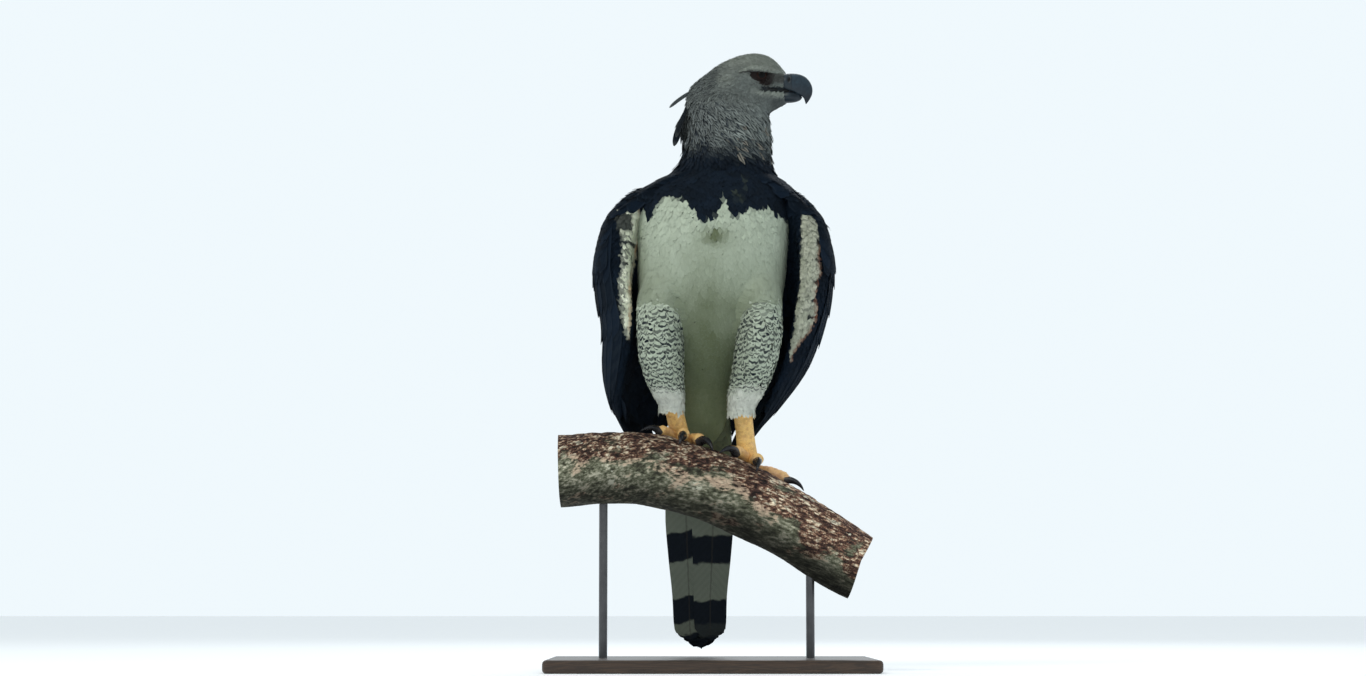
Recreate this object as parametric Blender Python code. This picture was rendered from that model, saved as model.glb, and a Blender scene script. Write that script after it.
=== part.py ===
"""A life-size harpy eagle that grips a cut length of branch on a plain display stand.

Metres, +Z up. The bird faces -Y and turns its head to its left, +X. Heights are above the underside of
the base plate. Depths (y) are from the branch's centre line, and the bird and its branch hang on one
empty that sets that line back over the middle of the base.
"""

import math

import bmesh
import bpy
import numpy as np

GAP = 0.0003

# The stand
BASE_SIZE = (0.500, 0.340, 0.020)
BASE_EDGE = 0.006
ROD_RADIUS = 0.0065
ROD_PLACES = (-0.165, 0.150)
PERCH_SETBACK = -0.020

# The branch: places along its centre line (x, z, radius)
PERCH_LINE = (
    (-0.232, 0.3035, 0.056),
    (-0.170, 0.3080, 0.055),
    (-0.100, 0.3070, 0.055),
    (-0.030, 0.2900, 0.054),
    (0.040, 0.2650, 0.054),
    (0.130, 0.2160, 0.053),
    (0.222, 0.1580, 0.051),
)
PERCH_SIDES = 18
PERCH_RINGS = 13
BARK_DEPTH = 0.0018

# The torso and neck: z, centre x and y, half width, half depth
TRUNK = (
    (0.345, -0.0155, 0.100, 0.020, 0.009),
    (0.365, -0.0145, 0.098, 0.031, 0.018),
    (0.400, -0.0110, 0.090, 0.040, 0.031),
    (0.440, -0.0085, 0.072, 0.058, 0.049),
    (0.480, -0.0045, 0.052, 0.080, 0.069),
    (0.530, -0.0015, 0.032, 0.100, 0.088),
    (0.590, 0.0000, 0.015, 0.112, 0.100),
    (0.650, 0.0020, 0.006, 0.117, 0.103),
    (0.690, 0.0020, 0.004, 0.121, 0.100),
    (0.715, 0.0020, 0.004, 0.122, 0.094),
    (0.735, 0.0045, 0.005, 0.114, 0.086),
    (0.750, 0.0120, 0.005, 0.095, 0.079),
    (0.768, 0.0190, 0.005, 0.077, 0.071),
    (0.790, 0.0235, 0.003, 0.069, 0.063),
    (0.820, 0.0270, 0.000, 0.065, 0.058),
    (0.845, 0.0280, -0.002, 0.063, 0.056),
    (0.870, 0.0280, -0.003, 0.058, 0.052),
    (0.890, 0.0280, -0.003, 0.046, 0.042),
)
NECK_FOOT = 0.768
TRUNK_SIDES = 20

# The head, in its own frame: s runs forward from the head's centre, q to the bird's left, z up
HEAD_CENTRE = (0.042, -0.004)
HEAD_TURN = math.radians(75)
HEAD_SIDES = 18
# s, top z, bottom z, half width
HEAD = (
    (-0.080, 0.8900, 0.8640, 0.010),
    (-0.074, 0.9010, 0.8520, 0.024),
    (-0.062, 0.9110, 0.8460, 0.034),
    (-0.046, 0.9220, 0.8430, 0.040),
    (-0.028, 0.9340, 0.8420, 0.044),
    (-0.006, 0.9435, 0.8430, 0.046),
    (0.016, 0.9490, 0.8460, 0.045),
    (0.034, 0.9490, 0.8520, 0.041),
    (0.048, 0.9450, 0.8580, 0.035),
    (0.060, 0.9365, 0.8630, 0.028),
    (0.069, 0.9260, 0.8670, 0.0225),
    (0.0765, 0.9160, 0.8710, 0.0175),
)
# s, q, z, radius of the ridge of brow over each eye
BROW = (
    (0.070, 0.0150, 0.9170, 0.0020),
    (0.058, 0.0270, 0.9215, 0.0042),
    (0.044, 0.0345, 0.9235, 0.0050),
    (0.029, 0.0390, 0.9215, 0.0044),
    (0.014, 0.0420, 0.9160, 0.0020),
)
EYE_PLACE = (0.0425, 0.0255, 0.9100)
EYE_RADIUS = 0.0115
LID_RADIUS = 0.0014
LID_TURN = math.radians(52)
MOUTH_LINE_Z = 0.8880
MOUTH_CORNER_S = 0.0450

# The bill: (s, z) of its ridge, (s, z) of its cutting edge, half width
UPPER_BILL = (
    ((0.0660, 0.9170), (0.0660, 0.8880), 0.0150),
    ((0.0765, 0.9163), (0.0765, 0.8880), 0.0148),
    ((0.0870, 0.9163), (0.0835, 0.8872), 0.0140),
    ((0.0980, 0.9143), (0.0895, 0.8853), 0.0122),
    ((0.1070, 0.9095), (0.0940, 0.8827), 0.0102),
    ((0.1140, 0.9012), (0.0983, 0.8808), 0.0082),
    ((0.1176, 0.8915), (0.1020, 0.8785), 0.0062),
    ((0.1170, 0.8820), (0.1046, 0.8755), 0.0042),
    ((0.1132, 0.8742), (0.1060, 0.8712), 0.0024),
    ((0.1086, 0.8680), (0.1070, 0.8672), 0.0007),
)
LOWER_BILL = (
    ((0.0600, 0.8873), (0.0600, 0.8700), 0.0132),
    ((0.0765, 0.8873), (0.0765, 0.8705), 0.0124),
    ((0.0850, 0.8866), (0.0850, 0.8706), 0.0110),
    ((0.0915, 0.8850), (0.0925, 0.8716), 0.0088),
    ((0.0965, 0.8830), (0.0985, 0.8740), 0.0060),
    ((0.0995, 0.8805), (0.1015, 0.8775), 0.0024),
)
NOSTRIL = (0.0835, 0.0138, 0.9045)

# The thighs: x, y, z, half width, half depth, for the bird's right; the left one is set apart from it
THIGHS = {
    "right": (
        (-0.070, -0.020, 0.600, 0.030, 0.045),
        (-0.0775, -0.030, 0.565, 0.0345, 0.052),
        (-0.0785, -0.034, 0.530, 0.0360, 0.050),
        (-0.0775, -0.030, 0.495, 0.0355, 0.044),
        (-0.0745, -0.018, 0.460, 0.0330, 0.037),
        (-0.0680, -0.002, 0.430, 0.0270, 0.030),
        (-0.0610, 0.014, 0.407, 0.0200, 0.0225),
    ),
    "left": (
        (0.069, -0.020, 0.600, 0.030, 0.045),
        (0.0730, -0.030, 0.565, 0.0330, 0.052),
        (0.0735, -0.034, 0.530, 0.0345, 0.050),
        (0.0705, -0.030, 0.495, 0.0350, 0.044),
        (0.0640, -0.018, 0.460, 0.0330, 0.037),
        (0.0545, -0.002, 0.428, 0.0290, 0.030),
        (0.0460, 0.014, 0.402, 0.0215, 0.0225),
    ),
}
THIGH_SIDES = 14

# The feet: where each stands along the branch, and how far behind its crest
FOOT_X = {"right": -0.058, "left": 0.039}
FOOT_ANGLE = math.radians(-44)
SHANK_RADII = (0.0175, 0.0150, 0.0155, 0.0190)
SHANK_TOP = {"right": (-0.0620, 0.024, 0.425), "left": (0.0460, 0.024, 0.420)}
PAD_RADIUS = 0.0155
# Each toe: sideways reach, outward positive; where it ends round the branch; radius; length of its claw
# along the branch; radius of its claw
TOES = {
    "left": (
        ("inner", -0.025, math.radians(-3), 0.0104, 0.038, 0.0070),
        ("middle", 0.006, math.radians(8), 0.0098, 0.034, 0.0062),
        ("outer", 0.050, math.radians(-16), 0.0092, 0.028, 0.0056),
        ("hind", -0.006, math.radians(-90), 0.0110, 0.046, 0.0080),
    ),
    "right": (
        ("inner", -0.025, math.radians(-5), 0.0104, 0.038, 0.0070),
        ("middle", 0.002, math.radians(6), 0.0098, 0.034, 0.0062),
        ("outer", 0.034, math.radians(-9), 0.0092, 0.030, 0.0056),
        ("hind", 0.004, math.radians(-90), 0.0110, 0.046, 0.0080),
    ),
}
TOE_SIDES = 8
TOE_RINGS = 7

# The wings, from the shoulder (0) to the wing tip (1): place, z, then x and y of the front edge, of the
# outermost place and of the back edge, and the thickness behind the front edge
WING = (
    (0.00, 0.740, 0.084, -0.012, 0.094, 0.022, 0.070, 0.052, 0.016),
    (0.05, 0.720, 0.101, -0.036, 0.117, 0.022, 0.070, 0.080, 0.036),
    (0.11, 0.692, 0.122, -0.050, 0.137, 0.026, 0.060, 0.102, 0.042),
    (0.22, 0.640, 0.133, -0.054, 0.151, 0.034, 0.045, 0.120, 0.042),
    (0.34, 0.582, 0.132, -0.046, 0.152, 0.044, 0.032, 0.130, 0.038),
    (0.46, 0.524, 0.121, -0.028, 0.142, 0.054, 0.022, 0.135, 0.030),
    (0.58, 0.468, 0.1065, 0.000, 0.1245, 0.068, 0.014, 0.138, 0.018),
    (0.70, 0.412, 0.083, 0.036, 0.087, 0.088, 0.011, 0.139, 0.009),
    (0.80, 0.362, 0.056, 0.072, 0.047, 0.107, 0.012, 0.140, 0.004),
    (0.90, 0.314, 0.037, 0.104, 0.028, 0.123, 0.014, 0.140, 0.003),
    (1.00, 0.268, 0.026, 0.128, 0.021, 0.134, 0.018, 0.140, 0.003),
)
WING_SHIFT = 0.0045
WING_SPLAY = {"left": 0.0, "right": 0.080}
SPLAY_SPAN = (0.40, 0.84)
NOSE_SHARE = 0.16
LINING_DEPTH = 0.036
WING_ACROSS = 8
WING_RINGS = 9
CORE_END = 0.68

# The feather tiers of a wing, from the lowest layer to the top one: where the roots lie between shoulder
# and wing tip, where each feather's tip lies, where the first and last feather lie across the wing at the
# root and at the tip, the heights over the arm where a vane leaves it and at its tip, and how much higher
# each tip lies than the one in front of it
TIERS = {
    "primaries": (
        0.54,
        (0.940, 0.985, 1.000, 0.975, 0.935, 0.890),
        (0.09, 0.46),
        (0.16, 0.82),
        (0.0014, 0.0022, 0.0010),
    ),
    "secondaries": (
        0.40,
        (0.705, 0.722, 0.739, 0.756, 0.773, 0.790, 0.800),
        (0.22, 0.93),
        (0.20, 0.92),
        (0.0026, 0.0068, 0.0003),
    ),
    "greater_coverts": (
        0.28,
        (0.500, 0.508, 0.515, 0.515, 0.515, 0.510, 0.505),
        (0.14, 0.92),
        (0.14, 0.92),
        (0.0024, 0.0078, 0.0002),
    ),
    "median_coverts": (
        0.14,
        (0.330, 0.338, 0.342, 0.342, 0.338, 0.330),
        (0.17, 0.88),
        (0.17, 0.88),
        (0.0024, 0.0074, 0.0002),
    ),
}
VANE_PLACES = (0.0, 0.09, 0.48, 0.86, 1.0)
VANE_WIDTHS = (0.70, 0.80, 1.0, 0.92, 0.22)
ROOT_DEPTH = 0.0065
CORE_SINK = 0.0035
TIER_TILT = 0.0018
VANE_THICKNESS = 0.0009

# The tail: place along it, centre x, y, z, half width
TAIL = (
    (0.00, -0.0130, 0.094, 0.425, 0.032),
    (0.20, -0.0150, 0.103, 0.350, 0.047),
    (0.45, -0.0175, 0.112, 0.250, 0.0540),
    (0.65, -0.0175, 0.119, 0.170, 0.0485),
    (0.78, -0.0175, 0.123, 0.118, 0.0430),
    (0.90, -0.0170, 0.126, 0.072, 0.0412),
    (1.00, -0.0165, 0.129, 0.032, 0.0395),
)
TAIL_PAIRS = 6
TAIL_FAN = 0.39
TAIL_LAYER = 0.00125
TAIL_STEP_UP = 0.010
TAIL_PLACES = (0.0, 0.25, 0.50, 0.78, 0.92, 0.98, 1.0)
TAIL_SHARES = (0.75, 0.90, 1.00, 1.00, 0.92, 0.66, 0.30)
TAIL_COVERT_END = 0.36

# The crest: s, q, z of each feather's root, middle and tip, its half width, and its roll about its length
CREST_LOOSE = (
    ((-0.056, -0.012, 0.8985), (-0.082, -0.019, 0.8890), (-0.1040, -0.024, 0.8675), 0.0036, 55),
    ((-0.058, 0.008, 0.8900), (-0.086, 0.011, 0.8740), (-0.1056, 0.014, 0.8420), 0.0036, 20),
    ((-0.060, -0.004, 0.8820), (-0.089, -0.010, 0.8560), (-0.0995, -0.013, 0.8090), 0.0075, 45),
)
CREST_FLAT_Q = (-0.033, -0.020, -0.007, 0.007, 0.020, 0.033)
CREST_FLAT_TIPS = (0.836, 0.818, 0.827, 0.811, 0.823, 0.838)

COLOURS = {
    "head_grey": ((0.42, 0.43, 0.43), 0.85, 0.0),
    "slate_black": ((0.030, 0.034, 0.044), 0.70, 0.0),
    "white": ((0.62, 0.62, 0.57), 0.88, 0.0),
    "barred": ((0.50, 0.51, 0.50), 0.88, 0.0),
    "tail_grey": ((0.12, 0.12, 0.125), 0.75, 0.0),
    "horn": ((0.035, 0.038, 0.045), 0.35, 0.0),
    "leg_yellow": ((0.62, 0.36, 0.09), 0.60, 0.0),
    "eye": ((0.020, 0.012, 0.010), 0.06, 0.0),
    "bark": ((0.24, 0.19, 0.15), 0.95, 0.0),
    "stand_wood": ((0.055, 0.035, 0.024), 0.45, 0.0),
    "stand_steel": ((0.10, 0.10, 0.11), 0.38, 0.9),
}


def clear_scene():
    for obj in list(bpy.data.objects):
        bpy.data.objects.remove(obj)


def material(name):
    """One Principled material for each entry of COLOURS."""
    if name in bpy.data.materials:
        return bpy.data.materials[name]
    made = bpy.data.materials.new(name)
    made.use_nodes = True
    shader = made.node_tree.nodes["Principled BSDF"]
    colour, roughness, metallic = COLOURS[name]
    shader.inputs["Base Color"].default_value = (*colour, 1.0)
    shader.inputs["Roughness"].default_value = roughness
    shader.inputs["Metallic"].default_value = metallic
    return made


def read_table(table, places):
    """The table's rows at these places of its first column, on smooth cubic pieces between the rows."""
    rows = np.array(table, float)
    steps = rows[:, 0]
    slopes = np.gradient(rows[:, 1:], steps, axis=0)
    places = np.clip(np.asarray(places, float), steps[0], steps[-1])
    i = np.clip(np.searchsorted(steps, places) - 1, 0, len(steps) - 2)
    span = (steps[i + 1] - steps[i])[..., None]
    t = (places - steps[i])[..., None] / span
    a, b = rows[i, 1:], rows[i + 1, 1:]
    return (
        a * (1 + 2 * t) * (1 - t) ** 2
        + b * t * t * (3 - 2 * t)
        + slopes[i] * span * t * (1 - t) ** 2
        + slopes[i + 1] * span * t * t * (t - 1)
    )


def make_object(name, points, faces, colour):
    mesh = bpy.data.meshes.new(name)
    mesh.from_pydata([tuple(map(float, p)) for p in points], [], [tuple(map(int, f)) for f in faces])
    work = bmesh.new()
    work.from_mesh(mesh)
    bmesh.ops.recalc_face_normals(work, faces=work.faces)
    work.to_mesh(mesh)
    work.free()
    mesh.materials.append(material(colour))
    obj = bpy.data.objects.new(name, mesh)
    bpy.context.scene.collection.objects.link(obj)
    return obj


def loft(name, rings, colour):
    """A closed skin over rings of points, each end closed by a fan about its middle."""
    rings = np.asarray(rings, float)
    count, sides, _ = rings.shape
    points = np.concatenate([rings.reshape(-1, 3), [rings[0].mean(0), rings[-1].mean(0)]])
    faces = []
    for i in range(count - 1):
        for j in range(sides):
            a, b = i * sides + j, i * sides + (j + 1) % sides
            faces.append((a, b, b + sides))
            faces.append((a, b + sides, a + sides))
    first, last = count * sides, count * sides + 1
    for j in range(sides):
        k = (j + 1) % sides
        faces.append((first, k, j))
        faces.append((last, (count - 1) * sides + j, (count - 1) * sides + k))
    return make_object(name, points, faces, colour)


def vane(name, middle, normal, thickness, colour):
    """A closed thin feather: three columns of points, with both faces split into triangles alike."""
    half = normal * np.asarray(thickness)[:, None, None] / 2
    levels = len(middle)
    points = np.concatenate([middle + half, middle - half], axis=1).reshape(-1, 3)
    faces = []
    for k in range(levels - 1):
        low, high = 6 * k, 6 * (k + 1)
        for j in (0, 1):
            faces.append((low + j, low + j + 1, high + j + 1))
            faces.append((low + j, high + j + 1, high + j))
            faces.append((low + j + 3, high + j + 4, low + j + 4))
            faces.append((low + j + 3, high + j + 3, high + j + 4))
        for j in (0, 2):
            faces.append((low + j, high + j, high + j + 3))
            faces.append((low + j, high + j + 3, low + j + 3))
    for start in (0, 6 * (levels - 1)):
        for j in (0, 1):
            faces.append((start + j, start + j + 1, start + j + 4))
            faces.append((start + j, start + j + 4, start + j + 3))
    return make_object(name, points, faces, colour)


def circle(sides, fullness=2.0):
    """Unit superellipse points: fullness 2 is round, more is squarer."""
    turn = np.arange(sides) * 2 * math.pi / sides
    c, s = np.cos(turn), np.sin(turn)
    return np.sign(c) * abs(c) ** (2 / fullness), np.sign(s) * abs(s) ** (2 / fullness)


def tube(name, path, radii, sides, colour, flatten=1.0):
    """A round or flattened tube along a path of points, with a radius at each point."""
    path = np.asarray(path, float)
    radii = np.asarray(radii, float)
    along = np.gradient(path, axis=0)
    along /= np.linalg.norm(along, axis=1)[:, None]
    hint = np.array((0.0, 0.0, 1.0)) if abs(along[:, 2]).max() < 0.9 else np.array((0.0, 1.0, 0.0))
    side = np.cross(along, hint)
    side /= np.linalg.norm(side, axis=1)[:, None]
    up = np.cross(side, along)
    c, s = circle(sides)
    rings = (
        path[:, None]
        + side[:, None] * (radii[:, None] * c)[..., None]
        + up[:, None] * (radii[:, None] * s)[..., None] * flatten
    )
    return loft(name, rings, colour)


def ball(name, centre, radius, colour, segments=12, rings=8, scale=(1.0, 1.0, 1.0)):
    mesh = bpy.data.meshes.new(name)
    work = bmesh.new()
    bmesh.ops.create_uvsphere(work, u_segments=segments, v_segments=rings, radius=radius)
    bmesh.ops.scale(work, vec=scale, verts=work.verts)
    bmesh.ops.translate(work, vec=centre, verts=work.verts)
    work.to_mesh(mesh)
    work.free()
    mesh.materials.append(material(colour))
    obj = bpy.data.objects.new(name, mesh)
    bpy.context.scene.collection.objects.link(obj)
    return obj


def grown(obj, by=GAP):
    """A copy whose skin stands a little outside, so that what it cuts keeps a gap to the object."""
    copy = obj.copy()
    copy.data = obj.data.copy()
    count = len(copy.data.vertices)
    places, normals = np.empty(count * 3, np.float32), np.empty(count * 3, np.float32)
    copy.data.vertices.foreach_get("co", places)
    copy.data.vertices.foreach_get("normal", normals)
    copy.data.vertices.foreach_set("co", places + normals * by * 1.25)
    copy.data.update()
    bpy.context.scene.collection.objects.link(copy)
    return copy


def combine(obj, others, operation, solver="EXACT"):
    """One Boolean between obj and a collection of closed meshes, applied, with the collection removed."""
    group = bpy.data.collections.new("operands")
    bpy.context.scene.collection.children.link(group)
    for other in others:
        bpy.context.scene.collection.objects.unlink(other)
        group.objects.link(other)
    step = obj.modifiers.new("combine", "BOOLEAN")
    step.operation = operation
    step.operand_type = "COLLECTION"
    step.collection = group
    step.solver = solver
    bpy.context.view_layer.update()
    graph = bpy.context.evaluated_depsgraph_get()
    made = bpy.data.meshes.new_from_object(obj.evaluated_get(graph))
    obj.modifiers.clear()
    made.name = obj.name
    obj.data = made
    for other in others:
        bpy.data.objects.remove(other)
    bpy.data.collections.remove(group)
    keep_largest(obj)
    return obj


def keep_largest(obj):
    """Drops every closed surface but the one that holds the most."""
    work = bmesh.new()
    work.from_mesh(obj.data)
    bmesh.ops.triangulate(work, faces=work.faces)
    left, shells = set(work.verts), []
    while left:
        shell, front = set(), [left.pop()]
        while front:
            vert = front.pop()
            shell.add(vert)
            for edge in vert.link_edges:
                other = edge.other_vert(vert)
                if other in left:
                    left.remove(other)
                    front.append(other)
        faces = {face for vert in shell for face in vert.link_faces}
        volume = sum(f.verts[0].co.dot(f.verts[1].co.cross(f.verts[2].co)) for f in faces) / 6
        shells.append((abs(volume), shell))
    shells.sort(key=lambda item: item[0])
    for _, shell in shells[:-1]:
        bmesh.ops.delete(work, geom=list(shell), context="VERTS")
    work.to_mesh(obj.data)
    work.free()


def trunk_rings(heights):
    c, s = circle(TRUNK_SIDES, 2.2)
    rows = read_table(TRUNK, heights)
    rings = np.empty((len(heights), TRUNK_SIDES, 3))
    rings[..., 0] = rows[:, 0:1] + rows[:, 2:3] * c
    rings[..., 1] = rows[:, 1:2] + rows[:, 3:4] * s
    rings[..., 2] = np.asarray(heights)[:, None]
    return rings


def build_torso():
    heights = np.concatenate([[TRUNK[0][0]], np.linspace(0.36, NECK_FOOT, 14)])
    return loft("torso", trunk_rings(heights), "white")


def build_neck():
    return loft("neck", trunk_rings(np.linspace(NECK_FOOT + GAP, TRUNK[-1][0], 8)), "slate_black")


def head_to_world(s, q, z):
    """Points of the head's own frame in the part's: s forward, q to the bird's left."""
    forward = np.array((math.sin(HEAD_TURN), -math.cos(HEAD_TURN)))
    left = np.array((-forward[1], forward[0]))
    flat = np.array(HEAD_CENTRE) + np.multiply.outer(s, forward) + np.multiply.outer(q, left)
    return np.concatenate([flat, np.asarray(z, float)[..., None]], axis=-1)


def head_core():
    places = np.array([row[0] for row in HEAD])
    rows = read_table(HEAD, places)
    c, s = circle(HEAD_SIDES, 2.15)
    q = rows[:, 2:3] * c
    z = (rows[:, 0:1] + rows[:, 1:2]) / 2 + (rows[:, 0:1] - rows[:, 1:2]) / 2 * s
    return loft("head", head_to_world(places[:, None] + 0 * q, q, z), "head_grey")


def brow(side):
    row = np.array(BROW)
    path = head_to_world(row[:, 0], side * row[:, 1], row[:, 2])
    return tube("brow", path, row[:, 3], 7, "head_grey")


def eye_frame(side):
    """Centre of the eye, and the directions out of the head, forward and up as the eye looks."""
    s, q, z = EYE_PLACE
    centre = head_to_world(s, side * q, z)
    out = head_to_world(s + 0.35, side * (q + 0.94), z) - centre
    out /= np.linalg.norm(out)
    up = np.array((0.0, 0.0, 1.0))
    return centre, out, np.cross(up, out), up


def lid(side, upper):
    """Half a ring of lid that lies on the eyeball round what shows of the eye."""
    centre, out, along, up = eye_frame(side)
    turn = np.linspace(0, math.pi, 7)
    height = 0.80 if upper else 0.95
    wide = EYE_RADIUS * math.sin(LID_TURN)
    flat = np.cos(turn)[:, None] * along * wide + (1 if upper else -1) * np.sin(turn)[:, None] * up * wide * height
    reach = EYE_RADIUS + LID_RADIUS * 0.6
    path = centre + flat + np.sqrt(np.maximum(reach**2 - (flat**2).sum(1), 0))[:, None] * out
    return tube("lid", path, np.full(len(path), LID_RADIUS), 5, "head_grey")


def build_eye(name, side):
    centre, _, _, _ = eye_frame(side)
    return ball(name, centre, EYE_RADIUS, "eye")


def mouth_cutter(side):
    """A thin wedge that cuts the line of the mouth back from the bill to its corner, under the eye."""
    s = np.array((0.082, 0.070, 0.058, MOUTH_CORNER_S))
    q = np.array((0.0150, 0.0215, 0.0300, 0.0375)) + 0.004
    z = np.array((MOUTH_LINE_Z, MOUTH_LINE_Z + 0.0002, MOUTH_LINE_Z + 0.0006, MOUTH_LINE_Z + 0.0010))
    path = head_to_world(s, side * q, z)
    return tube("mouth_cut", path, (0.0062, 0.0062, 0.0060, 0.0050), 8, "head_grey", flatten=0.16)


def bend(root, middle, tip, steps):
    """Points along the curve that starts at root, is drawn towards middle and ends at tip."""
    t = np.linspace(0, 1, steps)[:, None]
    return np.array(root) * (1 - t) ** 2 + 2 * np.array(middle) * t * (1 - t) + np.array(tip) * t * t


def crest_feather(root, middle, tip, half_width, roll):
    """One long feather of the crest, turned about its own length by roll degrees."""
    places = bend(root, middle, tip, 4)
    path = head_to_world(places[:, 0], places[:, 1], places[:, 2])
    along = np.gradient(path, axis=0)
    along /= np.linalg.norm(along, axis=1)[:, None]
    side = head_to_world(0, 1, 0) - head_to_world(0, 0, 0) + 0 * along
    side -= along * (side * along).sum(1)[:, None]
    side /= np.linalg.norm(side, axis=1)[:, None]
    turn = math.radians(roll)
    side = side * math.cos(turn) + np.cross(along, side) * math.sin(turn)
    face = np.cross(along, side)
    width = half_width * np.array((0.7, 1.0, 0.95, 0.25))
    columns = np.array((-1.0, 0.0, 1.0))
    middle_points = path[:, None] + side[:, None] * (width[:, None] * columns)[..., None]
    normal = np.repeat(face[:, None], 3, axis=1)
    return vane("crest", middle_points, normal, (0.0014, 0.0012, 0.0010, 0.0006), "head_grey")


def build_crest():
    """The loose feathers that stand out behind the head, and those that lie on the nape."""
    feathers = [crest_feather(*row) for row in CREST_LOOSE]
    for q, tip_z in zip(CREST_FLAT_Q, CREST_FLAT_TIPS):
        round_nape = q * q
        root = (-0.046 + 6 * round_nape, 0.55 * q, 0.908 - 0.35 * abs(q))
        middle = (-0.088 + 9 * round_nape, 0.9 * q, 0.884)
        tip = (-0.087 + 12 * round_nape, 1.12 * q, tip_z)
        feathers.append(crest_feather(root, middle, tip, 0.0085, 8 if q > 0 else -8))
    return feathers


def build_head(eyes):
    head = head_core()
    pieces = [brow(1), brow(-1), *build_crest()]
    pieces += [lid(side, upper) for side in (1, -1) for upper in (True, False)]
    shapes = [grown(head)] + [grown(piece) for piece in pieces]
    combine(head, pieces, "UNION")
    cutters = [grown(eye) for eye in eyes] + [mouth_cutter(1), mouth_cutter(-1)]
    combine(head, cutters, "DIFFERENCE")
    return head, shapes


def bill_rings(rows, sides=12):
    """Rings between the ridge and the cutting edge, narrowest at the ridge."""
    top = np.array([row[0] for row in rows])
    low = np.array([row[1] for row in rows])
    wide = np.array([row[2] for row in rows])
    turn = np.arange(sides) * 2 * math.pi / sides
    share = (1 + np.cos(turn)) / 2
    across = np.sin(turn) * (0.78 + 0.22 * (1 - share))
    middle = low[:, None] + (top - low)[:, None] * share[None, :, None]
    return head_to_world(middle[..., 0], wide[:, None] * across, middle[..., 1])


def build_bill(head_shapes):
    upper = loft("bill_upper", bill_rings(UPPER_BILL), "horn")
    s, q, z = NOSTRIL
    holes = [
        ball("nostril", head_to_world(s, side * q, z), 0.0022, "horn", 8, 6, (1.0, 1.0, 1.5)) for side in (1, -1)
    ]
    lower = loft("bill_lower", bill_rings(LOWER_BILL), "horn")
    combine(lower, [grown(upper)] + [copy_of(shape) for shape in head_shapes], "DIFFERENCE")
    combine(upper, [copy_of(shape) for shape in head_shapes] + holes, "DIFFERENCE")
    return [upper, lower]


def copy_of(obj):
    copy = obj.copy()
    copy.data = obj.data.copy()
    bpy.context.scene.collection.objects.link(copy)
    return copy


def build_thigh(side, torso):
    rows = np.array(THIGHS[side])
    steps = np.linspace(0, 1, len(rows))
    smooth = read_table(np.column_stack([steps, rows]), np.linspace(0, 1, 11))
    c, s = circle(THIGH_SIDES)
    rings = np.empty((len(smooth), THIGH_SIDES, 3))
    rings[..., 0] = smooth[:, 0:1] + smooth[:, 3:4] * c
    rings[..., 1] = smooth[:, 1:2] + smooth[:, 4:5] * s
    rings[..., 2] = smooth[:, 2:3] + 0.10 * smooth[:, 4:5] * s
    thigh = loft("thigh_" + side, rings, "barred")
    return combine(thigh, [grown(torso)], "DIFFERENCE")


def perch_frame(x):
    """Centre, direction along, direction up and radius of the branch at x."""
    x = np.asarray(x, float)
    rows = read_table(PERCH_LINE, x)
    ahead = read_table(PERCH_LINE, x + 0.002)
    behind = read_table(PERCH_LINE, x - 0.002)
    along = np.stack([np.full(x.shape, 0.004), 0 * x, ahead[..., 0] - behind[..., 0]], axis=-1)
    along /= np.linalg.norm(along, axis=-1)[..., None]
    up = np.stack([-along[..., 2], 0 * x, along[..., 0]], axis=-1)
    centre = np.stack([x, 0 * x, rows[..., 0]], axis=-1)
    return centre, along, up, rows[..., 1]


def on_perch(x, angle, height):
    """A point over the branch: angle round it from its crest, towards the front, and height over its bark."""
    centre, _, up, radius = perch_frame(x)
    reach = (radius + height)[..., None]
    front = np.array((0.0, -1.0, 0.0))
    return centre + reach * (up * np.cos(angle)[..., None] + front * np.sin(angle)[..., None])


def build_perch():
    x = np.linspace(PERCH_LINE[0][0], PERCH_LINE[-1][0], PERCH_RINGS)
    turn = np.arange(PERCH_SIDES) * 2 * math.pi / PERCH_SIDES
    grid_x, grid_turn = np.meshgrid(x, turn, indexing="ij")
    bumps = np.sin(3 * grid_turn + 19 * grid_x) * np.cos(31 * grid_x + 1.3) + 0.6 * np.sin(5 * grid_turn - 43 * grid_x)
    standing = np.exp(-(((grid_turn + math.pi) % (2 * math.pi) - math.pi) / 1.2) ** 2)
    rings = on_perch(grid_x, grid_turn, BARK_DEPTH * bumps * (1 - standing))
    return loft("perch_branch", rings, "bark")


def toe_path(side, reach, end):
    """Centre line of a toe, from the pad over the branch to its claw, lifted at its knuckles."""
    outward = 1 if side == "left" else -1
    share = np.linspace(0, 1, TOE_RINGS)
    x = FOOT_X[side] + outward * reach * share
    angle = FOOT_ANGLE + (end - FOOT_ANGLE) * share
    return share, x, angle


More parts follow.
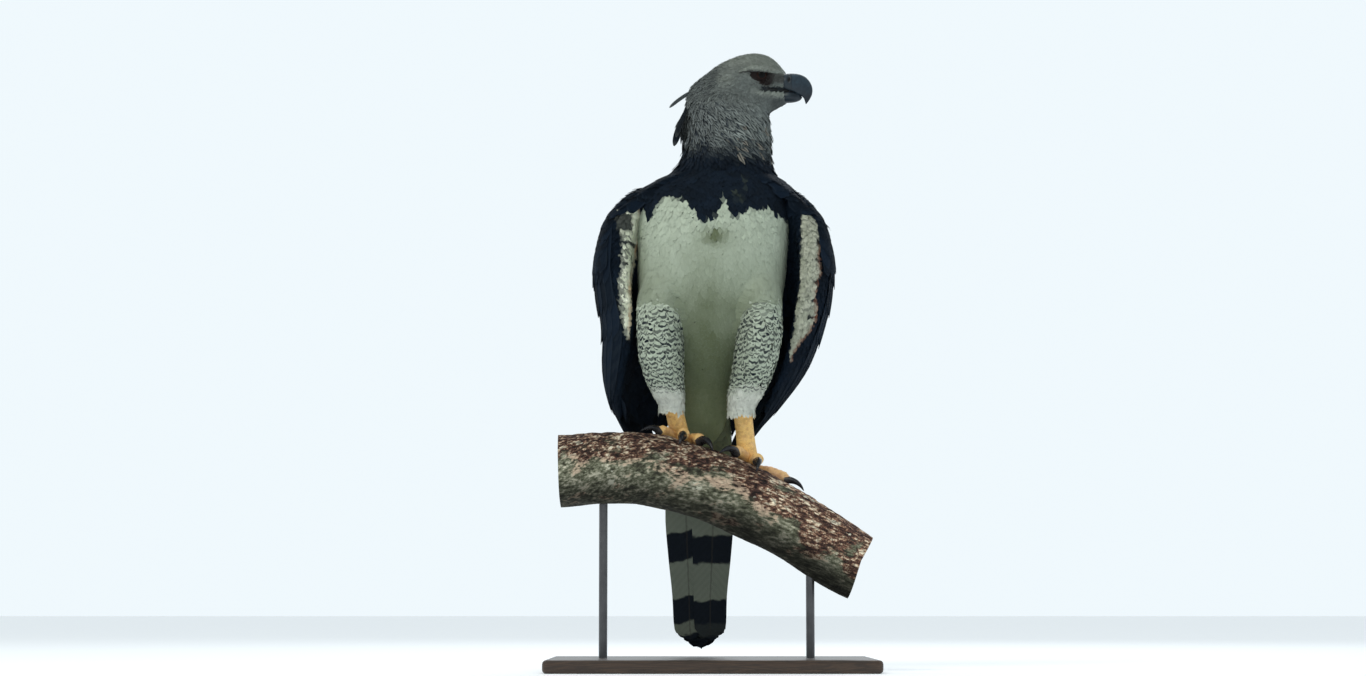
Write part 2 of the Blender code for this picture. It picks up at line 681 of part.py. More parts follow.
def build_foot(side, perch):
    outward = 1 if side == "left" else -1
    foot_x = np.array(FOOT_X[side])
    pad_centre = on_perch(foot_x, np.array(FOOT_ANGLE), np.array(PAD_RADIUS * 0.72))
    pad = ball("foot_" + side, pad_centre, PAD_RADIUS, "leg_yellow", 12, 8, (1.15, 1.1, 0.95))
    toes, claws = [], []
    for name, reach, end, radius, claw, claw_radius in TOES[side]:
        share, x, angle = toe_path(side, reach, end)
        height = radius * 0.86 + 0.0035 * np.sin(share * math.pi)
        girth = radius * (1 - 0.16 * share) * (1 + 0.07 * np.sin(share * 3 * math.pi) ** 2)
        girth[-1] *= 0.72
        toes.append(tube("toe", on_perch(x, angle, height), girth, TOE_SIDES, "leg_yellow"))
        step_x = outward * reach
        step_angle = end - FOOT_ANGLE
        length = math.hypot(step_x, step_angle * 0.062)
        go = np.linspace(-0.16, 1, 8)
        claw_x = x[-1] + step_x / length * claw * go
        claw_angle = angle[-1] + step_angle / length * claw * go
        claw_height = radius * 0.86 * (1 + 1.25 * go - 1.95 * go * go)
        claw_girth = claw_radius * np.clip(1 - go, 0, 1.1) ** 0.75 + 0.0004
        path = on_perch(claw_x, claw_angle, claw_height)
        claws.append(tube("claw_" + side + "_" + name, path, claw_girth, 8, "horn"))
    shapes = [grown(pad)] + [grown(toe) for toe in toes]
    combine(pad, toes, "UNION")
    combine(pad, [grown(perch)], "DIFFERENCE")
    for claw in claws:
        combine(claw, [copy_of(shape) for shape in shapes] + [grown(perch)], "DIFFERENCE")
    return pad, claws, shapes


def build_shank(side, thigh, foot_shapes, perch):
    top = np.array(SHANK_TOP[side])
    foot = on_perch(np.array(FOOT_X[side]), np.array(FOOT_ANGLE), np.array(PAD_RADIUS * 0.8))
    share = np.linspace(0, 1, len(SHANK_RADII))[:, None]
    path = top + (foot - top) * share
    shank = tube("shank_" + side, path, SHANK_RADII, 12, "leg_yellow")
    cutters = [copy_of(shape) for shape in foot_shapes] + [grown(thigh), grown(perch)]
    return combine(shank, cutters, "DIFFERENCE")


def wing_sheet(side, place, across, lift=0.0):
    """A point of the folded wing: place from shoulder to tip, across from front edge to back edge, and lift
    out of the wing's middle sheet. Each level is a curve through the front, outermost and back places."""
    outward = 1 if side == "left" else -1

    def middle(place, across):
        rows = read_table(WING, place)
        front, outer, back = rows[..., 1:3], rows[..., 3:5], rows[..., 5:7]
        bend = 2 * outer - (front + back) / 2
        c = across[..., None]
        flat = front * (1 - c) ** 2 + 2 * bend * c * (1 - c) + back * c * c
        splay = WING_SPLAY[side] * rise(place, *SPLAY_SPAN) * (1 - 0.25 * across)
        x = (flat[..., 0] + splay) * outward
        return np.stack([x + WING_SHIFT, flat[..., 1], rows[..., 0]], axis=-1)

    place, across = np.broadcast_arrays(np.asarray(place, float), np.asarray(across, float))
    step = 0.01
    along = middle(np.clip(place + step, 0, 1), across) - middle(np.clip(place - step, 0, 1), across)
    over = middle(place, across + step) - middle(place, across - step)
    normal = np.cross(over, along) * outward
    normal /= np.linalg.norm(normal, axis=-1)[..., None]
    return middle(place, across) - normal * np.asarray(lift)[..., None]


def wing_thickness(place, across):
    """Half the folded arm's thickness: round at the front edge, thinning to the back edge."""
    deep = read_table(WING, place)[..., 7]
    nose = np.sqrt(np.clip(1 - (1 - np.clip(across / NOSE_SHARE, 0, 1)) ** 2, 0, 1))
    return deep / 2 * nose * (1 - 0.72 * np.clip((across - NOSE_SHARE) / (1 - NOSE_SHARE), 0, 1)) + 0.0008


def rise(value, low, high):
    """0 below low, 1 above high, and a smooth step between."""
    share = np.clip((value - low) / (high - low), 0, 1)
    return share * share * (3 - 2 * share)


def wing_lining(place, across):
    """How much further in the folded arm reaches, to close against the breast and the flank."""
    span = rise(place, 0.0, 0.14) * (1 - rise(place, 0.42, 0.72))
    return LINING_DEPTH * span * rise(across, 0.03, 0.30) * (1 - rise(across, 0.45, 0.85))


def wing_core(side, end, colour, sink=0.0):
    """The arm without its feathers, its outer face sunk below where the vanes lie."""
    place = np.linspace(0, end, WING_RINGS)
    half = (1 - np.cos(np.linspace(0, math.pi, WING_ACROSS))) / 2
    out_grid = np.meshgrid(place, half, indexing="ij")
    in_grid = np.meshgrid(place, half[::-1], indexing="ij")
    under = sink * rise(out_grid[0], 0.08, 0.2) * rise(out_grid[1], 0.06, 0.16)
    outer = wing_sheet(side, *out_grid, wing_thickness(*out_grid) - under)
    inner = wing_sheet(side, *in_grid, -wing_thickness(*in_grid) - wing_lining(*in_grid))
    return loft("wing_" + side, np.concatenate([outer, inner], axis=1), colour)


def tier_surface(side, place, across, height):
    """Points over the arm at a height, and the direction out of the wing there."""
    low = wing_sheet(side, place, across, wing_thickness(place, across) + height)
    high = wing_sheet(side, place, across, wing_thickness(place, across) + height + 0.001)
    normal = high - low
    return low, normal / np.linalg.norm(normal, axis=-1)[..., None]


def tier_feathers(side, tier):
    """The vanes of one tier. Each feather's columns stand on its neighbours' middles, its front edge is
    raised and its back edge lowered, so that each lies over the one in front of it and none touch."""
    root, tips, across_root, across_tip, (low, top, stack) = TIERS[tier]
    count = len(tips)
    share = np.array(VANE_PLACES)
    widths = np.array(VANE_WIDTHS)
    feathers = []
    for i, tip in enumerate(tips):
        place = root + (tip - root) * share
        height = low + (top - low + stack * i) * share
        height[0] = -ROOT_DEPTH
        columns = []
        for k in (i - 1, i, i + 1):
            start = across_root[0] + (across_root[1] - across_root[0]) * k / (count - 1)
            end = across_tip[0] + (across_tip[1] - across_tip[0]) * k / (count - 1)
            across = np.clip(start + (end - start) * share, 0.0, 1.03)
            columns.append(tier_surface(side, place, across, height))
        middle = np.stack([point for point, _ in columns], axis=1)
        normal = np.stack([out for _, out in columns], axis=1)
        middle[:, 0] = middle[:, 1] + (middle[:, 0] - middle[:, 1]) * widths[:, None]
        middle[:, 2] = middle[:, 1] + (middle[:, 2] - middle[:, 1]) * widths[:, None]
        tilt = TIER_TILT * widths[:, None] * np.array((1.0, 0.0, -1.0))
        middle += normal * tilt[..., None]
        thickness = np.full(len(share), VANE_THICKNESS)
        thickness[-1] = 0.0006
        feathers.append(vane("feather", middle, normal, thickness, "slate_black"))
    return feathers


def build_wing(side, cutters):
    wing = wing_core(side, CORE_END, "slate_black", CORE_SINK)
    feathers = [feather for tier in TIERS for feather in tier_feathers(side, tier)]
    combine(wing, feathers, "UNION", "MANIFOLD")
    return combine(wing, cutters, "DIFFERENCE", "MANIFOLD")


def tail_feather(pair, outward, layer):
    """One vane of the tail. The middle pair lies at the back, and each further pair in front of it."""
    reach = 1.0 - TAIL_STEP_UP * pair
    places = np.array(TAIL_PLACES) * reach
    rows = read_table(TAIL, places)
    half = rows[:, 3] * (1 - TAIL_FAN)
    offset = outward * rows[:, 3] * TAIL_FAN * (pair + 0.5) / (TAIL_PAIRS - 0.5)
    width = half * np.array(TAIL_SHARES)
    columns = np.array((-1.0, 0.0, 1.0))
    middle = np.empty((len(places), 3, 3))
    middle[..., 0] = (rows[:, 0] + offset)[:, None] + width[:, None] * columns
    middle[..., 1] = rows[:, 1:2] + TAIL_LAYER * ((2 * TAIL_PAIRS - 1) / 2 - layer)
    middle[..., 2] = rows[:, 2:3]
    normal = np.zeros_like(middle)
    normal[..., 1] = 1.0
    thickness = np.full(len(places), VANE_THICKNESS)
    return vane("rectrix", middle, normal, thickness, "tail_grey")


def build_tail(torso):
    """Twelve vanes, closed one over the other, joined at the root by the coverts that wrap them."""
    rows = read_table(TAIL, np.linspace(0, TAIL_COVERT_END, 6))
    c, s = circle(12, 2.6)
    depth = np.array((0.011, 0.011, 0.0105, 0.0095, 0.008, 0.0068))[:, None]
    rings = np.empty((len(rows), 12, 3))
    rings[..., 0] = rows[:, 0:1] + rows[:, 3:4] * c * np.array((1, 1, 0.95, 0.85, 0.7, 0.4))[:, None]
    rings[..., 1] = rows[:, 1:2] + depth * s
    rings[..., 2] = rows[:, 2:3]
    tail = loft("tail", rings, "tail_grey")
    feathers = []
    for pair in range(TAIL_PAIRS):
        for place, outward in enumerate((-1, 1)):
            feathers.append(tail_feather(pair, outward, 2 * pair + place))
    combine(tail, feathers, "UNION", "MANIFOLD")
    return combine(tail, [grown(torso)], "DIFFERENCE", "MANIFOLD")


def build_stand(perch):
    width, depth, height = BASE_SIZE
    mesh = bpy.data.meshes.new("stand_base")
    work = bmesh.new()
    bmesh.ops.create_cube(work, size=1.0)
    bmesh.ops.scale(work, vec=BASE_SIZE, verts=work.verts)
    bmesh.ops.translate(work, vec=(0, -PERCH_SETBACK, height / 2), verts=work.verts)
    work.to_mesh(mesh)
    work.free()
    mesh.materials.append(material("stand_wood"))
    base = bpy.data.objects.new("stand_base", mesh)
    bpy.context.scene.collection.objects.link(base)
    edge = base.modifiers.new("rounded_edge", "BEVEL")
    edge.width = BASE_EDGE
    edge.segments = 3
    made = [base]
    for name, x in zip(("stand_rod_right", "stand_rod_left"), ROD_PLACES):
        top = float(read_table(PERCH_LINE, np.array(x))[0])
        path = np.array([(x, 0.0, z) for z in np.linspace(height + GAP, top, 3)])
        rod = tube(name, path, np.full(3, ROD_RADIUS), 16, "stand_steel")
        made.append(combine(rod, [grown(perch)], "DIFFERENCE"))
    return made


def smooth(obj):
    obj.data.shade_smooth()
    obj.data.set_sharp_from_angle(angle=math.radians(40))


def main():
    clear_scene()
    perch = build_perch()
    torso = build_torso()
    neck = build_neck()
    eyes = [build_eye("eye_left", 1), build_eye("eye_right", -1)]
    head, head_shapes = build_head(eyes)
    bill = build_bill(head_shapes)
    combine(neck, [copy_of(shape) for shape in head_shapes], "DIFFERENCE")
    thighs = {side: build_thigh(side, torso) for side in ("left", "right")}
    tail = build_tail(torso)
    nodes = [perch, torso, neck, head, tail, *eyes, *bill, *thighs.values()]
    for side, thigh in thighs.items():
        foot, claws, foot_shapes = build_foot(side, perch)
        shank = build_shank(side, thigh, foot_shapes, perch)
        for shape in foot_shapes:
            bpy.data.objects.remove(shape)
        wing = build_wing(side, [grown(torso), grown(thigh), grown(neck), grown(tail)])
        nodes += [foot, *claws, shank, wing]
    for shape in head_shapes:
        bpy.data.objects.remove(shape)
    nodes += build_stand(perch)
    setback = bpy.data.objects.new("setback", None)
    setback.location = (0.0, PERCH_SETBACK, 0.0)
    bpy.context.scene.collection.objects.link(setback)
    for node in nodes:
        node.parent = setback
        smooth(node)


main()
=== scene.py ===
"""A harpy eagle on a cut branch over a display stand, dressed with skin, feathers, bark and wood.

Metres, +Z up. The bird faces -Y and turns its head to its left, +X. The tables below are the solids' own
sizes, with depths (y) from the branch's centre line, and make_piece moves each finished mesh back by the
same setback as the solids.
"""

import math

import bpy
import numpy as np
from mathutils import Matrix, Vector


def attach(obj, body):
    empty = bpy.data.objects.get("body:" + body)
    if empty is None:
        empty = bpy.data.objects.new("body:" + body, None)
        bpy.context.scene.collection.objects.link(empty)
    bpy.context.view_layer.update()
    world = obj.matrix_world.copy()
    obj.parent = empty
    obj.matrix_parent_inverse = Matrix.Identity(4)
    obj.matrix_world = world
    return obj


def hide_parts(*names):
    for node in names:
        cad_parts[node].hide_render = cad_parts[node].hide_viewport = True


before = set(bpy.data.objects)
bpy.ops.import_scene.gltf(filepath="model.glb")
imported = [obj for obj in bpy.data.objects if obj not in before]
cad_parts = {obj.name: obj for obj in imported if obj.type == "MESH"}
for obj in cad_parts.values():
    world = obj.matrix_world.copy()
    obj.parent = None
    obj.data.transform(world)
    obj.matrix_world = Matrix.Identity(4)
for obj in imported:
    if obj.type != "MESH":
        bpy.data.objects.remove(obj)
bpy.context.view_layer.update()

# Sizes that the solids share. The branch: x, z and radius along its centre line, and the depth of its bumps
PERCH_SETBACK = -0.02
PERCH_LINE = (
    (-0.232, 0.3035, 0.056), (-0.17, 0.308, 0.055), (-0.1, 0.307, 0.055),
    (-0.03, 0.29, 0.054), (0.04, 0.265, 0.054), (0.13, 0.216, 0.053), (0.222, 0.158, 0.051),
)
BARK_DEPTH = 0.0018

# How square the sections are: 2 is an ellipse
TRUNK_FULLNESS, HEAD_FULLNESS, TAIL_FULLNESS = 2.2, 2.15, 2.6

# The torso and neck: z, centre x and y, half width, half depth
TRUNK = (
    (0.345, -0.0155, 0.1, 0.02, 0.009), (0.365, -0.0145, 0.098, 0.031, 0.018),
    (0.4, -0.011, 0.09, 0.04, 0.031), (0.44, -0.0085, 0.072, 0.058, 0.049),
    (0.48, -0.0045, 0.052, 0.08, 0.069), (0.53, -0.0015, 0.032, 0.1, 0.088),
    (0.59, 0.0, 0.015, 0.112, 0.1), (0.65, 0.002, 0.006, 0.117, 0.103),
    (0.69, 0.002, 0.004, 0.121, 0.1), (0.715, 0.002, 0.004, 0.122, 0.094),
    (0.735, 0.0045, 0.005, 0.114, 0.086), (0.75, 0.012, 0.005, 0.095, 0.079),
    (0.768, 0.019, 0.005, 0.077, 0.071), (0.79, 0.0235, 0.003, 0.069, 0.063),
    (0.82, 0.027, 0.0, 0.065, 0.058), (0.845, 0.028, -0.002, 0.063, 0.056),
    (0.87, 0.028, -0.003, 0.058, 0.052), (0.89, 0.028, -0.003, 0.046, 0.042),
)

# The head, in its own frame: s runs forward from the head's centre, q to the bird's left, z up
HEAD_CENTRE = (0.042, -0.004)
HEAD_TURN = math.radians(75)
HEAD_FORWARD = np.array((math.sin(HEAD_TURN), -math.cos(HEAD_TURN)))
HEAD_LEFT = np.array((-HEAD_FORWARD[1], HEAD_FORWARD[0]))
# s, top z, bottom z, half width
HEAD = (
    (-0.08, 0.89, 0.864, 0.01), (-0.074, 0.901, 0.852, 0.024),
    (-0.062, 0.911, 0.846, 0.034), (-0.046, 0.922, 0.843, 0.04),
    (-0.028, 0.934, 0.842, 0.044), (-0.006, 0.9435, 0.843, 0.046),
    (0.016, 0.949, 0.846, 0.045), (0.034, 0.949, 0.852, 0.041), (0.048, 0.945, 0.858, 0.035),
    (0.06, 0.9365, 0.863, 0.028), (0.069, 0.926, 0.867, 0.0225),
    (0.0765, 0.916, 0.871, 0.0175),
)
EYE_PLACE = (0.0425, 0.0255, 0.91)
EYE_RADIUS = 0.0115
MOUTH_LINE_Z = 0.888
MOUTH_CORNER_S = 0.045

# The bill: (s, z) of its ridge, (s, z) of its cutting edge, half width
UPPER_BILL = (
    ((0.066, 0.917), (0.066, 0.888), 0.015), ((0.0765, 0.9163), (0.0765, 0.888), 0.0148),
    ((0.087, 0.9163), (0.0835, 0.8872), 0.014), ((0.098, 0.9143), (0.0895, 0.8853), 0.0122),
    ((0.107, 0.9095), (0.094, 0.8827), 0.0102), ((0.114, 0.9012), (0.0983, 0.8808), 0.0082),
    ((0.1176, 0.8915), (0.102, 0.8785), 0.0062), ((0.117, 0.882), (0.1046, 0.8755), 0.0042),
    ((0.1132, 0.8742), (0.106, 0.8712), 0.0024), ((0.1086, 0.868), (0.107, 0.8672), 0.0007),
)
LOWER_BILL = (
    ((0.06, 0.8873), (0.06, 0.87), 0.0132), ((0.0765, 0.8873), (0.0765, 0.8705), 0.0124),
    ((0.085, 0.8866), (0.085, 0.8706), 0.011), ((0.0915, 0.885), (0.0925, 0.8716), 0.0088),
    ((0.0965, 0.883), (0.0985, 0.874), 0.006), ((0.0995, 0.8805), (0.1015, 0.8775), 0.0024),
)
NOSTRIL = (0.0835, 0.0138, 0.9045)

# The thighs: x, y, z, half width, half depth
THIGHS = {
    "right": (
        (-0.07, -0.02, 0.6, 0.03, 0.045), (-0.0775, -0.03, 0.565, 0.0345, 0.052),
        (-0.0785, -0.034, 0.53, 0.036, 0.05), (-0.0775, -0.03, 0.495, 0.0355, 0.044),
        (-0.0745, -0.018, 0.46, 0.033, 0.037), (-0.068, -0.002, 0.43, 0.027, 0.03),
        (-0.061, 0.014, 0.407, 0.02, 0.0225),
    ),
    "left": (
        (0.069, -0.02, 0.6, 0.03, 0.045), (0.073, -0.03, 0.565, 0.033, 0.052),
        (0.0735, -0.034, 0.53, 0.0345, 0.05), (0.0705, -0.03, 0.495, 0.035, 0.044),
        (0.064, -0.018, 0.46, 0.033, 0.037), (0.0545, -0.002, 0.428, 0.029, 0.03),
        (0.046, 0.014, 0.402, 0.0215, 0.0225),
    ),
}

# The feet: where each stands along the branch, and how far behind its crest
FOOT_X = {"right": -0.058, "left": 0.039}
FOOT_ANGLE = math.radians(-44)
SHANK_RADII = (0.0175, 0.015, 0.0155, 0.019)
SHANK_TOP = {"right": (-0.062, 0.024, 0.425), "left": (0.046, 0.024, 0.42)}
PAD_RADIUS = 0.0155
# Each toe: sideways reach, where it ends round the branch, radius, length and radius of its claw
TOES = {
    "left": (
        ("inner", -0.025, math.radians(-3), 0.0104, 0.038, 0.007),
        ("middle", 0.006, math.radians(8), 0.0098, 0.034, 0.0062),
        ("outer", 0.05, math.radians(-16), 0.0092, 0.028, 0.0056),
        ("hind", -0.006, math.radians(-90), 0.011, 0.046, 0.008),
    ),
    "right": (
        ("inner", -0.025, math.radians(-5), 0.0104, 0.038, 0.007),
        ("middle", 0.002, math.radians(6), 0.0098, 0.034, 0.0062),
        ("outer", 0.034, math.radians(-9), 0.0092, 0.03, 0.0056),
        ("hind", 0.004, math.radians(-90), 0.011, 0.046, 0.008),
    ),
}

# The wings, from the shoulder (0) to the wing tip (1): place, z, then x and y of the front edge, of the
# outermost place and of the back edge, and the thickness behind the front edge
WING = (
    (0.0, 0.74, 0.084, -0.012, 0.094, 0.022, 0.07, 0.052, 0.016),
    (0.05, 0.72, 0.101, -0.036, 0.117, 0.022, 0.07, 0.08, 0.036),
    (0.11, 0.692, 0.122, -0.05, 0.137, 0.026, 0.06, 0.102, 0.042),
    (0.22, 0.64, 0.133, -0.054, 0.151, 0.034, 0.045, 0.12, 0.042),
    (0.34, 0.582, 0.132, -0.046, 0.152, 0.044, 0.032, 0.13, 0.038),
    (0.46, 0.524, 0.121, -0.028, 0.142, 0.054, 0.022, 0.135, 0.03),
    (0.58, 0.468, 0.1065, 0.0, 0.1245, 0.068, 0.014, 0.138, 0.018),
    (0.7, 0.412, 0.083, 0.036, 0.087, 0.088, 0.011, 0.139, 0.009),
    (0.8, 0.362, 0.056, 0.072, 0.047, 0.107, 0.012, 0.14, 0.004),
    (0.9, 0.314, 0.037, 0.104, 0.028, 0.123, 0.014, 0.14, 0.003),
    (1.0, 0.268, 0.026, 0.128, 0.021, 0.134, 0.018, 0.14, 0.003),
)
WING_SHIFT = 0.0045
WING_SPLAY = {"left": 0.0, "right": 0.08}
SPLAY_SPAN = (0.4, 0.84)
NOSE_SHARE = 0.16
LINING_DEPTH = 0.036
CORE_END = 0.68

# The tail: place along it, centre x, y, z, half width
TAIL = (
    (0.0, -0.013, 0.094, 0.425, 0.032), (0.2, -0.015, 0.103, 0.35, 0.047),
    (0.45, -0.0175, 0.112, 0.25, 0.054), (0.65, -0.0175, 0.119, 0.17, 0.0485),
    (0.78, -0.0175, 0.123, 0.118, 0.043), (0.9, -0.017, 0.126, 0.072, 0.0412),
    (1.0, -0.0165, 0.129, 0.032, 0.0395),
)
TAIL_PAIRS = 6
TAIL_FAN = 0.39
TAIL_LAYER = 0.00125
TAIL_STEP_UP = 0.01

# How deep the coat is over the skin
BODY_COAT = 0.0046
NECK_COAT = 0.0042
FACE_COAT = 0.0026
THIGH_COAT = 0.0055
ARM_COAT = 0.005

# The camera: the middle of the photograph's frame, its width and height at the bird, and how far off it is
FRAME_MIDDLE = (-0.0435, 0.0, 0.5255)
FRAME_WIDTH = 2.049
CAMERA_AWAY = 4.0
CAMERA_RISE = math.radians(6.0)
SENSOR_WIDTH = 36.0
PULL_BACK = 1.03
SHIFT_DOWN = 0.007

# Colours of the plumage, as linear values
WHITE = np.array((0.47, 0.535, 0.425))
SHADED_WHITE = np.array((0.135, 0.162, 0.092))
CREAM = np.array((0.6, 0.62, 0.5))
BUFF = np.array((0.62, 0.33, 0.12))
RUSSET = np.array((0.17, 0.065, 0.04))
BLACK = np.array((0.0045, 0.008, 0.013))
SLATE = np.array((0.0085, 0.0165, 0.03))
CROWN_GREY = np.array((0.27, 0.298, 0.262))
CHEEK_GREY = np.array((0.16, 0.182, 0.172))
NAPE_GREY = np.array((0.132, 0.148, 0.148))
LORE_GREY = np.array((0.06, 0.06, 0.058))
OLIVE_GREY = np.array((0.11, 0.13, 0.085))
EYE_SKIN = LORE_GREY * np.array((0.24, 0.15, 0.145))

# Which way each wing and leg lies along X, and straight up
OUTWARD = {"left": 1, "right": -1}
UP = np.array((0.0, 0.0, 1.0))

# The size of a vane's own patch on the bake map
PATCH = 0.003
random = np.random.default_rng(11)


def read_table(table, places):
    """The table's rows at these places of its first column, on smooth cubic pieces between the rows."""
    rows = np.array(table, float)
    steps = rows[:, 0]
    slopes = np.gradient(rows[:, 1:], steps, axis=0)
    places = np.clip(np.asarray(places, float), steps[0], steps[-1])
    i = np.clip(np.searchsorted(steps, places) - 1, 0, len(steps) - 2)
    span = (steps[i + 1] - steps[i])[..., None]
    t = (places - steps[i])[..., None] / span
    a, b = rows[i, 1:], rows[i + 1, 1:]
    return (
        a * (1 + 2 * t) * (1 - t) ** 2
        + b * t * t * (3 - 2 * t)
        + slopes[i] * span * t * (1 - t) ** 2
        + slopes[i + 1] * span * t * t * (t - 1)
    )


def by_share(rows, share):
    """Rows without a column of places, read at shares from 0, the first row, to 1, the last."""
    rows = np.array(rows, float)
    return read_table(np.column_stack([np.linspace(0, 1, len(rows)), rows]), share)


def rise(value, low, high):
    """0 below low, 1 above high, and a smooth step between."""
    share = np.clip((value - low) / (high - low), 0, 1)
    return share * share * (3 - 2 * share)


def mix(a, b, share):
    """Colours between a and b by share, one share for each point."""
    share = np.asarray(share, float)[..., None]
    return np.asarray(a) * (1 - share) + np.asarray(b) * share


def unit(vectors):
    """Vectors brought to length 1."""
    return vectors / np.maximum(np.linalg.norm(vectors, axis=-1), 1e-12)[..., None]


def stacked(*parts):
    """Arrays and numbers side by side in a new last axis."""
    return np.stack(np.broadcast_arrays(*parts), axis=-1)


def matched(*values):
    """Arrays and numbers as float arrays of one shape."""
    return np.broadcast_arrays(*(np.asarray(value, float) for value in values))


def full_turn(count):
    """This many angles, all round from 0."""
    return np.arange(count) * 2 * math.pi / count


def around(turn):
    """Angles as shares of a full turn, from 0 to 1."""
    return turn / 6.2832 % 1


def spot(*offsets):
    """A soft spot: exp(-(the sum of the squared offsets))."""
    return np.exp(-sum(offset**2 for offset in offsets))


def squared(turn, fullness):
    """Unit superellipse at an angle: cosine and sine, each to the power 2 / fullness, with their signs."""
    c, s = np.cos(turn), np.sin(turn)
    return np.sign(c) * abs(c) ** (2 / fullness), np.sign(s) * abs(s) ** (2 / fullness)


def ripple(points, size, seed, octaves=3):
    """Smooth noise from -1 to 1: sines along random directions with waves of this size, each octave at half
    the size and half the height, bent by one another so that no straight waves show."""
    draw = np.random.default_rng(seed)
    points = np.asarray(points, float)
    total, weight = 0.0, 0.0
    for octave in range(octaves):
        scale = 2 * math.pi / (size * 0.5**octave)
        turns = unit(draw.normal(size=(5, 3))) * scale * draw.uniform(0.7, 1.3, (5, 1))
        waves = points @ turns.T + draw.uniform(0, 6.28, 5)
        bent = np.sin(waves + 1.4 * np.sin(np.roll(waves, 1, axis=-1) * 0.7))
        total = total + bent.mean(-1) * 1.6 * 0.5**octave
        weight += 0.5**octave
    return total / weight


# Surfaces of the body. Each gives points for two places on it and a height over it.


def trunk(z, turn, height):
    """Torso and neck: at height z, centre + (half width, half depth) * superellipse(turn)."""
    rows = read_table(TRUNK, z)
    c, s = squared(turn, TRUNK_FULLNESS)
    x = rows[..., 0] + (rows[..., 2] + height) * c
    y = rows[..., 1] + (rows[..., 3] + height) * s
    return np.stack([x, y, np.broadcast_to(z, x.shape)], axis=-1)


def head_to_world(s, q, z):
    """Points of the head's own frame: s forward, q to the bird's left."""
    s, q, z = matched(s, q, z)
    flat = np.array(HEAD_CENTRE) + s[..., None] * HEAD_FORWARD + q[..., None] * HEAD_LEFT
    return np.concatenate([flat, z[..., None]], axis=-1)


def head_from_world(points):
    """The head's own s and q of points in the bird's frame."""
    flat = points[..., :2] - np.array(HEAD_CENTRE)
    return flat @ HEAD_FORWARD, flat @ HEAD_LEFT


def head_section(s):
    """Middle z, half height and half width of the head at s."""
    rows = read_table(HEAD, s)
    return (rows[..., 0] + rows[..., 1]) / 2, (rows[..., 0] - rows[..., 1]) / 2, rows[..., 2]


def head(s, turn, height):
    """The head: at s, a superellipse between its bottom and top z and its half width."""
    middle, half, wide = head_section(s)
    c, sine = squared(turn, HEAD_FULLNESS)
    return head_to_world(s, (wide + height) * c, middle + (half + height) * sine)


def eased_max(a, b, softness):
    """The larger of two, rounded where they meet: (a + b + sqrt((a - b)^2 + softness^2)) / 2."""
    return (a + b + np.sqrt((a - b) ** 2 + softness**2)) / 2


# Where the neck and the thighs close to a dome: from z, over this height, down to this squared share
NECK_DOME = (0.88, 0.026, 0.0004)
THIGH_DOME = (0.585, 0.045, 0.01)


def dome_over(z, start, tall, least):
    """The share of its width that a part keeps towards its top: sqrt(1 - ((z - start) / tall)^2)."""
    return np.sqrt(np.clip(1 - np.clip((z - start) / tall, 0, 1) ** 2, least, 1))


def trunk_reach(points, height):
    """How far out from the trunk's centre line points lie, as a share of its surface: under 1 is inside. It
    closes to a dome over the neck's top."""
    rows = read_table(TRUNK, points[..., 2])
    dome = dome_over(points[..., 2], *NECK_DOME)
    x = abs(points[..., 0] - rows[..., 0]) / ((rows[..., 2] + height) * dome)
    y = abs(points[..., 1] - rows[..., 1]) / ((rows[..., 3] + height) * dome)
    return (x**TRUNK_FULLNESS + y**TRUNK_FULLNESS) ** (1 / TRUNK_FULLNESS), rows[..., :2]


def head_over_neck(s, turn, height):
    """The head, kept outside the neck: points whose share of the neck's surface is under 1 move out to it."""
    points = head(s, turn, height)
    share, centre = trunk_reach(points, height)
    share = np.maximum(share, 0.05)
    push = eased_max(share, 1.0, 0.1) / share
    flat = centre + (points[..., :2] - centre) * push[..., None]
    return np.concatenate([flat, points[..., 2:]], axis=-1)


def inside_head(points, height):
    """The share of the head's surface at points of the bird's frame: under 1 is inside."""
    s, q = head_from_world(points)
    middle, half, wide = head_section(s)
    level = abs((points[..., 2] - middle) / (half + height))
    share = abs(q / (wide + height)) ** HEAD_FULLNESS + level**HEAD_FULLNESS
    return np.where((s < HEAD[0][0]) | (s > HEAD[-1][0]), 9.0, share)


COLLAR_LOW, COLLAR_STEP, COLLAR_ROWS, COLLAR_SIDES = 0.76, 0.0015, 100, 144


def find_collar():
    """How far the neck and the head reach from the neck's middle line, for each height and turn: the eased
    larger of the neck's ellipse and the furthest point of the ray inside the head, a little smoothed."""
    z = COLLAR_LOW + COLLAR_STEP * np.arange(COLLAR_ROWS)[:, None] + np.zeros(COLLAR_SIDES)
    turn = full_turn(COLLAR_SIDES) + 0 * z
    rows = read_table(TRUNK, z)
    c, s = np.cos(turn), np.sin(turn)
    sides = (abs(c) / rows[..., 2]) ** TRUNK_FULLNESS + (abs(s) / rows[..., 3]) ** TRUNK_FULLNESS
    neck = dome_over(z, *NECK_DOME) / sides ** (1 / TRUNK_FULLNESS)

    def is_inside(reach):
        x, y = rows[..., 0] + reach * c, rows[..., 1] + reach * s
        return inside_head(np.stack([x, y, z], axis=-1), 0.0) < 1

    low = np.zeros_like(z)
    for reach in np.arange(0.004, 0.15, 0.002):
        low = np.where(is_inside(reach), reach, low)
    high = low + 0.002
    for _ in range(7):
        middle = (low + high) / 2
        inside = is_inside(middle) & (low > 0)
        low, high = np.where(inside, middle, low), np.where(inside, high, middle)
    reach = eased_max(neck, low, 0.006) - 0.0006
    for _ in range(3):
        reach = (np.roll(reach, 1, 1) + 2 * reach + np.roll(reach, -1, 1)) / 4
        reach[1:-1] = (reach[:-2] + 2 * reach[1:-1] + reach[2:]) / 4
    return reach


COLLAR = find_collar()


